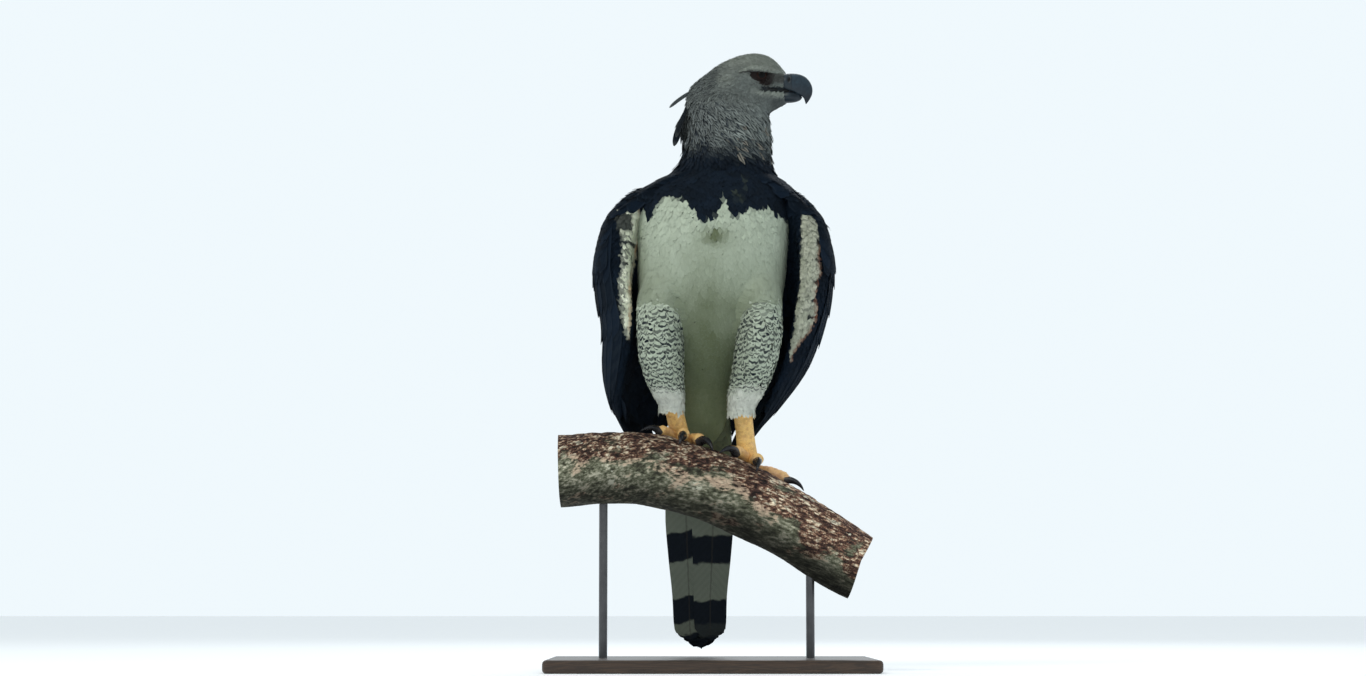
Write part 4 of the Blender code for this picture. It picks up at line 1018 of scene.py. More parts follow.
class Shading:
    """A node tree that is being filled. Its methods add nodes and give back what they put out."""

    def __init__(self, tree):
        self.tree = tree

    def feed(self, socket, value):
        """A socket joined to an output, or given a value of its own, colours without their alpha."""
        if isinstance(value, bpy.types.NodeSocket):
            self.tree.links.new(value, socket)
        elif socket.type == "RGBA":
            socket.default_value = (*value, 1)
        else:
            socket.default_value = value

    def put(self, kind, inputs=None, **settings):
        """The outputs of a new node with these settings and inputs."""
        node = self.tree.nodes.new("ShaderNode" + kind)
        for key, value in settings.items():
            setattr(node, key, value)
        for key, value in (inputs or {}).items():
            self.feed(node.inputs[key], value)
        return node.outputs

    def math(self, operation, *values):
        """One Math node."""
        return self.put("Math", dict(enumerate(values)), operation=operation)[0]

    def times(self, a, b):
        """a * b"""
        return self.math("MULTIPLY", a, b)

    def plus(self, a, b):
        """a + b"""
        return self.math("ADD", a, b)

    def less(self, a, b):
        """a - b"""
        return self.math("SUBTRACT", a, b)

    def scaled(self, value, by, plus):
        """value * by + plus"""
        return self.math("MULTIPLY_ADD", value, by, plus)

    def span(self, value, low, high, start=0.0, end=1.0):
        """The value carried from low and high to start and end, and held between them."""
        return self.put("MapRange", {"Value": value, 1: low, 2: high, 3: start, 4: end})[0]

    def blend(self, share, a, b, how="MIX"):
        """Colours a and b mixed by share."""
        inputs = {0: share, 6: a, 7: b}
        return self.put("Mix", data_type="RGBA", blend_type=how, clamp_factor=True, inputs=inputs)[2]

    def shade(self, colour, value, by, plus):
        """The colour times (value * by + plus)."""
        factor = self.scaled(value, by, plus)
        grey = self.put("CombineColor", {0: factor, 1: factor, 2: factor})[0]
        return self.blend(1.0, colour, grey, "MULTIPLY")

    def noise(self, place, scale, detail, **more):
        """Noise over places."""
        return self.put("TexNoise", {"Vector": place, "Scale": scale, "Detail": detail, **more})["Fac"]

    def cells(self, place, scale):
        """The distance to the edge of irregular cells."""
        inputs = {"Vector": place, "Scale": scale}
        return self.put("TexVoronoi", inputs, feature="DISTANCE_TO_EDGE")["Distance"]

    def stretched(self, place, scale):
        """Places scaled along each axis."""
        return self.put("Mapping", {"Vector": place, "Scale": scale})[0]

    def place(self):
        """Object coordinates."""
        return self.put("TexCoord")["Object"]

    def attribute(self, name, output="Color"):
        """What the mesh carries under this name."""
        return self.put("Attribute", attribute_name=name)[output]

    def marks(self):
        """The three marks of the mesh."""
        return self.put("SeparateColor", {0: self.attribute("mark")})

    def split_vane(self, vane):
        """How far from the shaft, 0 to 1, and how far along a vane."""
        parts = self.put("SeparateXYZ", {0: vane})
        return self.math("ABSOLUTE", self.scaled(parts[0], 2.0, -1.0)), parts[1]

    def ramp(self, value, stops):
        """A colour ramp with stops of (position, colour)."""
        outputs = self.put("ValToRGB", {0: value})
        elements = outputs[0].node.color_ramp.elements
        while len(elements) < len(stops):
            elements.new(0.5)
        for element, (position, colour) in zip(elements, stops):
            element.position = position
            element.color = (*colour, 1)
        return outputs[0]

    def use(self, group, **values):
        """One of the groups below with its own values."""
        return self.put("Group", node_tree=group, inputs=values)


class Look(Shading):
    """A material and its Principled shader, with uniform values on the shader's own sockets."""

    def __init__(self, name, roughness, **sockets):
        self.material = bpy.data.materials.new(name)
        self.material.use_nodes = True
        super().__init__(self.material.node_tree)
        self.shader = self.tree.nodes["Principled BSDF"].inputs
        self.shader["Roughness"].default_value = roughness
        for label, value in sockets.items():
            self.feed(self.shader[label.replace("_", " ")], value)

    def done(self, colour, height, strength, distance):
        """The material with this colour and this bump."""
        self.feed(self.shader["Base Color"], colour)
        bump = self.put("Bump", {"Height": height, "Strength": strength, "Distance": distance})
        self.feed(self.shader["Normal"], bump["Normal"])
        return self.material


def new_group(name, inputs, outputs):
    """A shader node group with these sockets, and its two inner ends. Inputs without a value are vectors."""
    group = bpy.data.node_groups.new(name, "ShaderNodeTree")
    for label, value in inputs.items():
        kind = "NodeSocketVector" if value is None else "NodeSocketFloat"
        socket = group.interface.new_socket(label, in_out="INPUT", socket_type=kind)
        if value is not None:
            socket.default_value = value
    for label in outputs:
        group.interface.new_socket(label, in_out="OUTPUT", socket_type="NodeSocketFloat")
    start = group.nodes.new("NodeGroupInput").outputs
    end = group.nodes.new("NodeGroupOutput").inputs
    return Shading(group), start, end


def make_vane_group():
    """Barbs that run from the shaft to the edge: waves of along * count - |across| * slant, broken by noise.
    Puts out their height, a streak of tone, and masks of the shaft, the edge and the middle."""
    inputs = {"Vane": None, "Barbs": 30.0, "Slant": 0.6, "Shaft": 0.05}
    group, start, end = new_group("vane_detail", inputs, ("Height", "Streak", "Shaft", "Edge", "Centre"))
    across, along = group.split_vane(start["Vane"])
    bent = group.less(along, group.times(across, start["Slant"]))
    broken = group.noise(group.place(), 140.0, 2.0)
    run = group.scaled(broken, 2.2, group.times(bent, start["Barbs"]))
    wave = group.scaled(group.math("SINE", group.times(run, 6.2832)), 0.5, 0.5)
    slow = group.math("SINE", group.times(run, 1.37))
    shaft = group.math("LESS_THAN", across, start["Shaft"])
    outer = group.math("MAXIMUM", across, group.math("POWER", along, 2.0))
    results = {
        "Height": group.scaled(shaft, 1.5, wave),
        "Streak": group.scaled(slow, 0.25, group.scaled(wave, 0.5, 0.25)),
        "Shaft": shaft,
        "Edge": group.span(outer, 0.8, 0.97),
        "Centre": group.span(group.scaled(along, 0.25, across), 0.34, 0.62, 1.0, 0.0),
    }
    for label, value in results.items():
        group.feed(end[label], value)
    return group.tree


def make_bar_group():
    """Bars across a vane: where |fract(along * count + shift) - 0.5| is small, bent by noise and, by the
    chevron, towards the edges."""
    inputs = {"Vane": None, "Count": 3.0, "Width": 0.2, "Shift": 0.0, "Chevron": 0.1}
    group, start, end = new_group("vane_bars", inputs, ("Bars",))
    across, along = group.split_vane(start["Vane"])
    along = group.scaled(group.noise(group.place(), 90.0, 2.0), 0.1, group.less(along, 0.05))
    along = group.scaled(group.times(across, across), start["Chevron"], along)
    phase = group.math("FRACT", group.scaled(along, start["Count"], start["Shift"]))
    gap = group.math("ABSOLUTE", group.less(phase, 0.5))
    half = group.times(start["Width"], 0.5)
    group.feed(end["Bars"], group.span(gap, half, group.plus(half, 0.07), 1.0, 0.0))
    return group.tree


def make_mottle_group():
    """Two sizes of noise over Object coordinates, as a tone about 0.5 and a fine grain."""
    group, start, end = new_group("mottle", {"Size": 40.0, "Grain": 400.0}, ("Tone", "Grain"))
    place = group.place()
    group.feed(end["Tone"], group.noise(place, start["Size"], 4.0))
    group.feed(end["Grain"], group.noise(place, start["Grain"], 3.0))
    return group.tree


VANE_DETAIL = make_vane_group()
VANE_BARS = make_bar_group()
MOTTLE = make_mottle_group()

STREAK_COLOUR = (0.017, 0.022, 0.028)


def plumage(name, roughness, gloss, bar_colour, bars, fringe_colour, barbs, streak, bump):
    """Feathers: the coat's colour, streaked along the barbs, barred and fringed as far as the marks say."""
    look = Look(name, roughness, Specular_IOR_Level=gloss)
    vane = look.put("UVMap", uv_map="vane")[0]
    mark = look.marks()
    detail = look.use(VANE_DETAIL, Vane=vane, Barbs=barbs, Slant=0.35, Shaft=0.035)
    count, width, shift, chevron = bars
    barred = look.use(VANE_BARS, Vane=vane, Count=count, Width=width, Shift=shift, Chevron=chevron)
    colour = look.blend(look.times(barred["Bars"], mark[0]), look.attribute("coat"), bar_colour)
    colour = look.blend(look.times(detail["Centre"], mark[2]), colour, STREAK_COLOUR)
    colour = look.blend(look.times(detail["Edge"], mark[1]), colour, fringe_colour)
    colour = look.shade(colour, detail["Streak"], streak, 1 - streak / 2)
    return look.done(colour, detail["Height"], 0.7, bump)


# Name: roughness, gloss, bar colour, bars (count, width, shift, chevron), fringe colour, barbs, streak, bump
DARK_BAR, NO_BARS, WING_BARS = (0.02, 0.02, 0.02), (3, 0.2, 0.0, 0.1), (6.5, 0.4, 0.0, 0.08)
THIGH_BARS = (2.6, 0.38, 0.42, 0.09)
FEATHER_LOOKS = {
    "white_down": (0.9, 0.1, DARK_BAR, NO_BARS, (0.56, 0.62, 0.52), 26.0, 0.1, 0.00022),
    "thigh_down": (0.88, 0.1, (0.013, 0.018, 0.026), THIGH_BARS, (0.66, 0.69, 0.62), 26.0, 0.16, 0.0003),
    "bib_down": (0.8, 0.09, DARK_BAR, NO_BARS, (0.02, 0.034, 0.048), 26.0, 0.35, 0.0004),
    "head_down": (0.9, 0.1, (0.05, 0.05, 0.05), (2, 0.3, 0.0, 0.1), (0.34, 0.36, 0.34), 26.0, 0.45, 0.0004),
    "wing_vanes": (0.66, 0.045, (0.014, 0.021, 0.03), WING_BARS, (0.026, 0.038, 0.054), 70.0, 0.3, 0.0004),
}
LOOKS = {name: plumage(name, *values) for name, values in FEATHER_LOOKS.items()}

# The tail: heights over the base where black and grey change, from the tip up
BAND_BLACK, BAND_GREY = (0.007, 0.011, 0.017), (0.175, 0.198, 0.158)
TAIL_TOP = 0.45
TAIL_BANDS = (
    (0.0, BAND_BLACK), (0.111, BAND_BLACK), (0.114, BAND_GREY), (0.17, BAND_GREY),
    (0.173, BAND_BLACK), (0.214, BAND_BLACK), (0.217, BAND_GREY), (0.272, BAND_GREY),
    (0.275, BAND_BLACK), (0.302, BAND_BLACK), (0.305, BAND_GREY), (TAIL_TOP, BAND_GREY),
)
TAIL_PATCH_Z = 0.066


def make_tail_look():
    """The tail: bands at heights over the base, slanted and shifted from vane to vane by its marks, with a
    pale patch in the lowest band where a third mark says so."""
    look = Look("tail_vanes", 0.68, Specular_IOR_Level=0.1)
    mark, place = look.marks(), look.place()
    vane = look.put("UVMap", uv_map="vane")[0]
    detail = look.use(VANE_DETAIL, Vane=vane, Barbs=150.0, Slant=0.08, Shaft=0.045)
    level = look.put("SeparateXYZ", {0: place})[2]
    level = look.plus(level, look.scaled(look.noise(place, 55.0, 3.0), 0.016, -0.008))
    level = look.plus(level, look.scaled(mark[0], 0.06, -0.03))
    slope = look.times(look.less(look.put("SeparateXYZ", {0: vane})[0], 0.5), mark[1])
    level = look.scaled(slope, 0.028, level)
    stops = [(z / TAIL_TOP, shade) for z, shade in TAIL_BANDS]
    bands = look.ramp(look.math("DIVIDE", level, TAIL_TOP), stops)
    patch = look.span(look.math("ABSOLUTE", look.less(level, TAIL_PATCH_Z)), 0.008, 0.012, 1.0, 0.0)
    colour = look.blend(look.times(patch, mark[2]), bands, BAND_GREY)
    colour = look.shade(colour, detail["Streak"], 0.16, 0.92)
    colour = look.blend(look.times(detail["Shaft"], 0.35), colour, (0.04, 0.036, 0.03))
    return look.done(colour, detail["Height"], 0.6, 0.0003)


def painted(name, roughness, size, grain, shade, bump, **sockets):
    """A surface in its painted colour, mottled by shade (by, plus), with a bump (strength, depth) of fine
    grain. Puts out the look and its mottle too."""
    look = Look(name, roughness, **sockets)
    spots = look.use(MOTTLE, Size=size, Grain=grain)
    colour = look.shade(look.attribute("coat"), spots["Tone"], *shade)
    look.done(colour, spots["Grain"], *bump)
    return look, spots


def make_horn_look(name, roughness):
    """Horn: its painted colour, with fine scratches along it and a worn bloom."""
    sockets = {"Coat_Weight": 0.06, "Specular_IOR_Level": 0.28}
    look, spots = painted(name, roughness, 120.0, 600.0, (0.9, 0.55), (0.35, 0.0003), **sockets)
    look.feed(look.shader["Roughness"], look.scaled(spots["Tone"], 0.3, roughness - 0.15))
    return look.material


def make_leg_look():
    """Scaly skin of the legs: ochre with brown between the small scales and in spots."""
    look = Look("leg_scales", 0.55, Specular_IOR_Level=0.35)
    gaps = look.span(look.cells(look.place(), 420.0), 0.02, 0.14)
    spots = look.use(MOTTLE, Size=110.0, Grain=900.0)
    worn = look.span(spots["Tone"], 0.56, 0.64)
    colour = look.blend(look.times(worn, 0.3), look.attribute("coat"), (0.42, 0.19, 0.065))
    colour = look.blend(look.times(look.less(1.0, gaps), 0.3), colour, (0.48, 0.25, 0.095))
    height = look.scaled(gaps, 0.7, look.times(spots["Grain"], 0.3))
    return look.done(colour, height, 0.6, 0.0005)


def make_eye_look():
    """The eye: its painted iris and pupil under a clear, wet front."""
    look = Look("eyeball", 0.3, Coat_Weight=0.1, Coat_Roughness=0.02, Specular_IOR_Level=0.05)
    spots = look.use(MOTTLE, Size=500.0, Grain=900.0)
    look.feed(look.shader["Base Color"], look.shade(look.attribute("coat"), spots["Tone"], 0.8, 0.6))
    return look.material


# Bark colours, from the cracks to the highest flakes
ROUGH_BARK = (
    (0.4, (0.01, 0.007, 0.006)), (0.465, (0.06, 0.032, 0.026)), (0.505, (0.15, 0.074, 0.05)),
    (0.535, (0.34, 0.205, 0.13)), (0.562, (0.66, 0.55, 0.4)), (0.62, (0.8, 0.76, 0.6)),
)
SMOOTH_BARK = (
    (0.4, (0.035, 0.034, 0.024)), (0.455, (0.095, 0.098, 0.062)), (0.51, (0.185, 0.19, 0.13)),
    (0.55, (0.36, 0.35, 0.26)), (0.6, (0.58, 0.55, 0.43)),
)
BAND_PINK, LICHEN, CRACK = (0.62, 0.47, 0.34), (0.66, 0.65, 0.52), (0.012, 0.008, 0.007)
RING_BROWN = (0.1, 0.058, 0.034)


def make_bark_look():
    """Bark: rough flakes from dark brown to cream above, smooth grey green below, and a pinkish band between
    them, all drawn out along the branch, with cracks and a few lichen spots. Marks are the share of rough
    bark, the share of the band, and the share of cut wood, which has growth rings about the middle."""
    look = Look("bark", 0.92, Specular_IOR_Level=0.25)
    mark, coat, grain = look.marks(), look.attribute("coat"), look.attribute("grain", "Vector")
    wide = look.noise(grain, 58.0, 9.0, Roughness=0.74)
    fine = look.noise(grain, 230.0, 5.0, Roughness=0.7)
    broad = look.noise(grain, 26.0, 4.0, Roughness=0.6)
    split = look.span(look.cells(grain, 150.0), 0.0, 0.16)
    both = look.scaled(fine, 0.45, look.times(wide, 0.55))
    shared = look.scaled(look.less(broad, 0.5), 3.0, mark[0])
    shared = look.scaled(look.less(wide, 0.5), 1.8, shared)
    smooth, rough = look.ramp(both, SMOOTH_BARK), look.ramp(both, ROUGH_BARK)
    colour = look.blend(look.span(shared, 0.4, 0.62), smooth, rough)
    banded = look.scaled(look.less(both, 0.5), 7.0, mark[1])
    banded = look.scaled(look.less(broad, 0.5), 3.0, banded)
    colour = look.blend(look.times(look.span(banded, 0.55, 1.05), 0.8), colour, BAND_PINK)
    spot = look.span(look.noise(grain, 36.0, 5.0, Roughness=0.6), 0.645, 0.665)
    colour = look.blend(look.times(spot, 0.8), colour, LICHEN)
    crack = look.times(look.less(1.0, split), look.times(mark[0], 0.7))
    # The coat attribute multiplies in the branch's painted shade, which darkens its underside
    colour = look.blend(1.0, look.blend(crack, colour, CRACK), coat, "MULTIPLY")
    flat = look.put("VectorMath", {0: grain, 1: (0.0, 1.0, 1.0)}, operation="MULTIPLY")[0]
    away = look.put("VectorMath", {0: flat}, operation="LENGTH")["Value"]
    ring = look.math("SINE", look.scaled(wide, 9.0, look.times(away, 1900.0)))
    ringed = look.put("Math", {0: ring, 1: 0.16, 2: 0.34}, operation="MULTIPLY_ADD", use_clamp=True)[0]
    colour = look.blend(mark[2], colour, look.blend(ringed, coat, RING_BROWN))
    plate = look.times(split, look.times(mark[0], 0.35))
    return look.done(colour, look.plus(look.times(both, 1.3), plate), 1.0, 0.003)


def make_wood_look():
    """Dark oiled wood: grain stretched along the base, pores and a soft gloss."""
    look = Look("base_wood", 0.42, Coat_Weight=0.12)
    place = look.place()
    figure = look.noise(look.stretched(place, (1.6, 22.0, 22.0)), 3.2, 5.0, Distortion=1.1)
    fine = look.noise(look.stretched(place, (30.0, 620.0, 620.0)), 1.0, 3.0)
    share = look.scaled(look.math("SINE", look.times(figure, 46.0)), 0.35, 0.5)
    colour = look.blend(share, (0.03, 0.017, 0.01), (0.085, 0.047, 0.026))
    colour = look.blend(look.times(fine, 0.55), colour, (0.016, 0.009, 0.006))
    look.feed(look.shader["Roughness"], look.scaled(fine, 0.3, 0.28))
    return look.done(colour, fine, 0.25, 0.0003)


def make_steel_look():
    """Blackened steel: brushed along the rod, a little worn."""
    look = Look("rod_steel", 0.34, Metallic=0.9)
    lines = look.noise(look.stretched(look.place(), (900.0, 900.0, 12.0)), 1.0, 2.0)
    spots = look.use(MOTTLE, Size=35.0, Grain=500.0)
    colour = look.blend(spots["Tone"], (0.055, 0.056, 0.06), (0.16, 0.16, 0.165))
    look.feed(look.shader["Roughness"], look.scaled(lines, 0.25, 0.22))
    return look.done(colour, lines, 0.2, 0.0001)


TAIL_LOOK = make_tail_look()
SKIN_LOOK = painted("skin", 0.8, 60.0, 700.0, (0.6, 0.7), (0.5, 0.0004), Specular_IOR_Level=0.15)[0].material
LEG_LOOK = make_leg_look()
BILL_LOOK = make_horn_look("bill_horn", 0.4)
CLAW_LOOK = make_horn_look("claw_horn", 0.26)
EYE_LOOK = make_eye_look()
BARK_LOOK = make_bark_look()


# The skin under the coat, and the legs


def skin_shells():
    """Rings of every fleshy part, drawn in by the depth of its coat."""
    shells = []
    turn = full_turn(48)
    z = np.linspace(TRUNK[0][0], TRUNK[-1][0], 70)[:, None]
    depth = np.interp(z, (0.36, 0.42, 0.74, 0.8), (0.002, BODY_COAT, BODY_COAT, NECK_COAT))
    shells.append(trunk(z, turn[None], -depth))
    s = np.linspace(HEAD[0][0], HEAD[-1][0], 40)[:, None]
    shells.append(head(s, turn[None], -FACE_COAT - 0.0016 * rise(s, 0.045, 0.07)))
    for side in (1, -1):
        rows = by_share(BROW_COAT, np.linspace(0, 1, 16))
        path = head_to_world(rows[:, 0], side * rows[:, 1], rows[:, 2])
        shells.append(tube_rings(path, rows[:, 3] - 0.0012, 12))
    for side in OUTWARD:
        share = np.linspace(0, 1, 30)[:, None]
        shells.append(thigh(side)(share, turn[None], -THIGH_COAT + 0 * share))
        place = np.linspace(0.0, CORE_END, 40)
        half = (1 - np.cos(np.linspace(0, math.pi, 18))) / 2
        out_grid = np.meshgrid(place, half, indexing="ij")
        in_grid = np.meshgrid(place, half[::-1], indexing="ij")
        thin = np.maximum(wing_thickness(*out_grid) - ARM_COAT, 0.0006)
        outer = wing_sheet(side, *out_grid, thin)
        inner_thin = np.maximum(wing_thickness(*in_grid) + wing_lining(*in_grid) - ARM_COAT, 0.0006)
        inner = wing_sheet(side, *in_grid, -inner_thin)
        shells.append(np.concatenate([outer, inner], axis=1))
    place = np.linspace(0.0, 0.33, 20)[:, None]
    shells.append(tail_wrap(place, turn[None], -0.004 + 0 * place))
    return shells


def skin_colour(points):
    """The coat's markings, with the painted shade and light of the trunk's colours: trunk, head, thighs and
    wings by where each point lies.
    """
    x, z = points[..., 0], points[..., 2]
    colour = trunk_colour(points)
    s, _ = head_from_world(points)
    colour = np.where((z > 0.776)[..., None], collar_colour(points), colour)
    on_head = rise(z + 0.35 * s, 0.852, 0.866)
    colour = mix(colour, head_colour(points), on_head)
    rows = read_table(TRUNK, z)
    beside = (abs(x - rows[..., 0]) > rows[..., 2] + 0.004) & (z < 0.75)
    wings = beside & (abs(x) > 0.118 - 0.05 * (z < 0.5))
    colour = np.where(wings[..., None], BLACK, colour)
    tail = (points[..., 1] > 0.088) & (z < 0.43)
    return np.where(tail[..., None], OLIVE_GREY * 0.7, colour)


def build_skin():
    """One closed skin: all shells fused on a fine grid, smoothed where they meet, and painted."""
    points, faces = joined(skin_shells())
    raw = make_piece("skin_raw", points, faces, SKIN_LOOK, sharp=None)
    fuse = raw.modifiers.new("fuse", "REMESH")
    fuse.mode = "VOXEL"
    fuse.voxel_size = 0.003
    soften = raw.modifiers.new("soften", "SMOOTH")
    soften.factor = 0.5
    soften.iterations = 6
    bpy.context.view_layer.update()
    mesh = bpy.data.meshes.new_from_object(raw.evaluated_get(bpy.context.evaluated_depsgraph_get()))
    bpy.data.objects.remove(raw)
    mesh.name = "skin"
    mesh.shade_smooth()
    places = np.empty(len(mesh.vertices) * 3, np.float32)
    mesh.vertices.foreach_get("co", places)
    places = places.reshape(-1, 3) - np.float32((0, PERCH_SETBACK, 0))
    full = np.ones((len(places), 4), np.float32)
    full[:, :3] = skin_colour(places.astype(float)) * 0.8
    mesh.attributes.new("coat", "FLOAT_COLOR", "POINT").data.foreach_set("color", full.ravel())
    skin = bpy.data.objects.new("skin", mesh)
    bpy.context.scene.collection.objects.link(skin)
    mesh.materials.clear()
    mesh.materials.append(SKIN_LOOK)
    return skin


def scute_steps(share, angle, count):
    """Plates across the front of a leg or toe: a saw of the share that rises to each plate's lower edge."""
    phase = (share * count) % 1.0
    saw = phase**0.7 * (1 - rise(phase, 0.86, 1.0))
    return saw * rise(np.cos(angle), 0.05, 0.45)


OCHRE = np.array((1.0, 0.655, 0.225))
LEG_BROWN = np.array((0.62, 0.31, 0.115))
LEG_PINK = np.array((0.66, 0.42, 0.34))


def leg_colour(points, pale):
    """Ochre yellow, with brown spots, and pinkish violet at the knuckles."""
    colour = mix(OCHRE, LEG_BROWN, np.clip(1.1 * ripple(points, 0.011, 21) - 0.15, 0, 0.6))
    return mix(colour, LEG_PINK, 0.6 * pale)


# The pad under each foot: half sizes in pad radii, and how high its middle stands
PAD_SHAPE = (1.15, 1.1, 0.95)
PAD_HEIGHT = 0.72
SHANK_FOOT = 0.8
SHANK_PLATES, TOE_PLATES, HIND_PLATES = 11.0, 9.0, 7.0


def shank_shell(side, foot):
    """A shank: a tube from the thigh to the foot, with plates down its front, which faces -Y."""
    top = np.array(SHANK_TOP[side])
    share = np.linspace(0, 1, 90)
    path = top + (foot - top) * share[:, None]
    radii = by_share([(r,) for r in SHANK_RADII], share)[:, 0] - 0.0007
    out = tube_rings(path, np.ones(len(path)), 40, hint=(0.0, 1.0, 0.0)) - path[:, None]
    facing = np.arccos(np.clip(-out[..., 1], -1, 1))
    plates = scute_steps(share[:, None], facing, SHANK_PLATES)
    return path[:, None] + out * (radii[:, None] + 0.0011 * plates)[..., None]


def toe_shell(side, name, reach, end, radius):
    """A toe: rings about a path round the branch, thick between its joints, with plates along its top."""
    share = np.linspace(0, 1, 70)
    x = FOOT_X[side] + OUTWARD[side] * reach * share
    angle = FOOT_ANGLE + (end - FOOT_ANGLE) * share
    path = on_perch(x, angle, radius * 0.86 + 0.0035 * np.sin(share * math.pi))
    ends = 1 - 0.28 * rise(share, 0.86, 1.0)
    girth = radius * (1 - 0.16 * share) * (1 + 0.07 * np.sin(share * 3 * math.pi) ** 2) * ends
    up = unit(path - perch_frame(x)[0])
    along = unit(np.gradient(path, axis=0))
    across = unit(np.cross(along, up))
    lift = np.cross(across, along)
    turns = full_turn(28)
    plates = scute_steps(share[:, None], turns[None], HIND_PLATES if name == "hind" else TOE_PLATES)
    reach_out = girth[:, None] + 0.001 * plates - 0.0003
    raised = lift[:, None] * (np.cos(turns) * reach_out)[..., None]
    return path[:, None] + (raised + across[:, None] * (np.sin(turns) * reach_out)[..., None])


def leg_shells(side):
    """Shank, pad and toes of one leg as fine rings with their scutes, with the share of pink on each."""
    spot_x, spot_angle = np.array(FOOT_X[side]), np.array(FOOT_ANGLE)
    foot = on_perch(spot_x, spot_angle, np.array(PAD_RADIUS * SHANK_FOOT))
    polar = np.linspace(0.02, math.pi - 0.02, 24)[:, None]
    wide, deep, tall = PAD_SHAPE
    turn, level = full_turn(40)[None], np.sin(polar)
    ring = stacked(wide * level * np.cos(turn), deep * level * np.sin(turn), tall * np.cos(polar))
    pad = on_perch(spot_x, spot_angle, np.array(PAD_RADIUS * PAD_HEIGHT)) + ring * PAD_RADIUS
    shells = [(shank_shell(side, foot), 0.0), (pad, 0.2)]
    for name, reach, end, radius, _, _ in TOES[side]:
        pink = 0.75 if name == "outer" and side == "left" else 0.3
        shells.append((toe_shell(side, name, reach, end, radius), pink))
    return shells


def build_legs():
    """Each leg is one piece: shank, pad and toes."""
    for side in OUTWARD:
        shells = leg_shells(side)
        points, faces = joined([rings for rings, _ in shells])
        pale = np.concatenate([np.full(len(shell_points(rings)), share) for rings, share in shells])
        knuckle = np.clip(pale + 0.5 * ripple(points, 0.02, 22), 0, 1)
        leg = make_piece("leg_" + side, points, faces, LEG_LOOK, leg_colour(points, knuckle), sharp=None)
        put_in(leg, "leg_yellow", "shank_" + side, "foot_" + side)


# How far from the branch's middle line a claw is taken to run
CLAW_REACH = 0.062
CLAW_BLACK = np.array((0.014, 0.015, 0.018))
CLAW_ROOT = np.array((0.05, 0.045, 0.045))


def build_claws():
    """Claws: tubes that leave the toe tip, rise a little and curve down to a point by the bark."""
    for side in OUTWARD:
        outward = OUTWARD[side]
        for name, reach, end, radius, claw, claw_radius in TOES[side]:
            step_x = outward * reach
            step_angle = end - FOOT_ANGLE
            length = math.hypot(step_x, step_angle * CLAW_REACH)
            go = np.linspace(-0.16, 1, 40)
            x = FOOT_X[side] + step_x + step_x / length * claw * go
            angle = end + step_angle / length * claw * go
            height = radius * 0.86 * (1 + 1.25 * go - 1.95 * go * go)
            girth = claw_radius * np.clip(1 - go, 0, 1.1) ** 0.75 + 0.0003
            path = on_perch(x, angle, height)
            points, faces = joined([tube_rings(path, girth, 20)])
            share = 1 - rise(np.concatenate([np.repeat(go, 20), [go[0], go[-1]]]), -0.1, 0.35)
            colour = mix(CLAW_BLACK, CLAW_ROOT, share)
            claw_piece = make_piece("talon_" + side + "_" + name, points, faces, CLAW_LOOK, colour)
            put_in(claw_piece, "horn", "claw_" + side + "_" + name)


# The head: eyes, lids, bill and its small plumage


def eye_frame(side):
    """Centre of the eye, and the directions out of the head and forward as the eye looks."""
    s, q, z = EYE_PLACE
    centre = head_to_world(s, side * q, z)
    out = unit(head_to_world(s + 0.35, side * (q + 0.94), z) - centre)
    return centre, out, np.cross(UP, out)


PUPIL, IRIS, EYE_RIM = (0.002, 0.002, 0.002), (0.016, 0.006, 0.004), (0.004, 0.003, 0.003)


def build_eyes():
    """Eyeballs: a sphere with a cornea raised over the iris, radius * (1 + 0.055 * cap), painted in rings."""
    for label, side in (("left", 1), ("right", -1)):
        centre, out, along = eye_frame(side)
        polar = np.concatenate([[0.004], np.linspace(0.04, math.pi - 0.04, 46)])[:, None]
        turn = full_turn(56)[None]
        cap = 1 - rise(polar, 0.3, 0.85)
        radius = EYE_RADIUS * (1 + 0.055 * cap)
        level = (np.sin(polar) * np.cos(turn))[..., None] * along
        level = level + (np.sin(polar) * np.sin(turn))[..., None] * UP
        points, faces = joined([centre + radius[..., None] * (np.cos(polar)[..., None] * out + level)])
        away = np.arccos(np.clip(unit(points - centre) @ out, -1, 1))
        colour = mix(mix(PUPIL, IRIS, rise(away, 0.47, 0.52)), EYE_RIM, rise(away, 0.76, 0.86))
        eyeball = make_piece("eyeball_" + label, points, faces, EYE_LOOK, colour, sharp=None)
        put_in(eyeball, "eye", "eye_" + label)


# Lids: how far out from the opening each ring lies, as a share, and its height over the eyeball
LID_SHARES = np.array((-0.1, -0.03, 0.0, 0.04, 0.12, 0.25, 0.45, 0.7, 1.0))
LID_LIFTS = np.array((-0.0006, 0.0002, 0.0009, 0.0013, 0.0014, 0.0012, 0.0008, 0.0, -0.0016))
LID_REACH = 0.62
OPENING, OPENING_TOP, OPENING_BOTTOM = 0.93, 0.6, 0.68
LID_DARK, LID_WARM = (0.004, 0.0032, 0.0032), (0.022, 0.011, 0.0095)


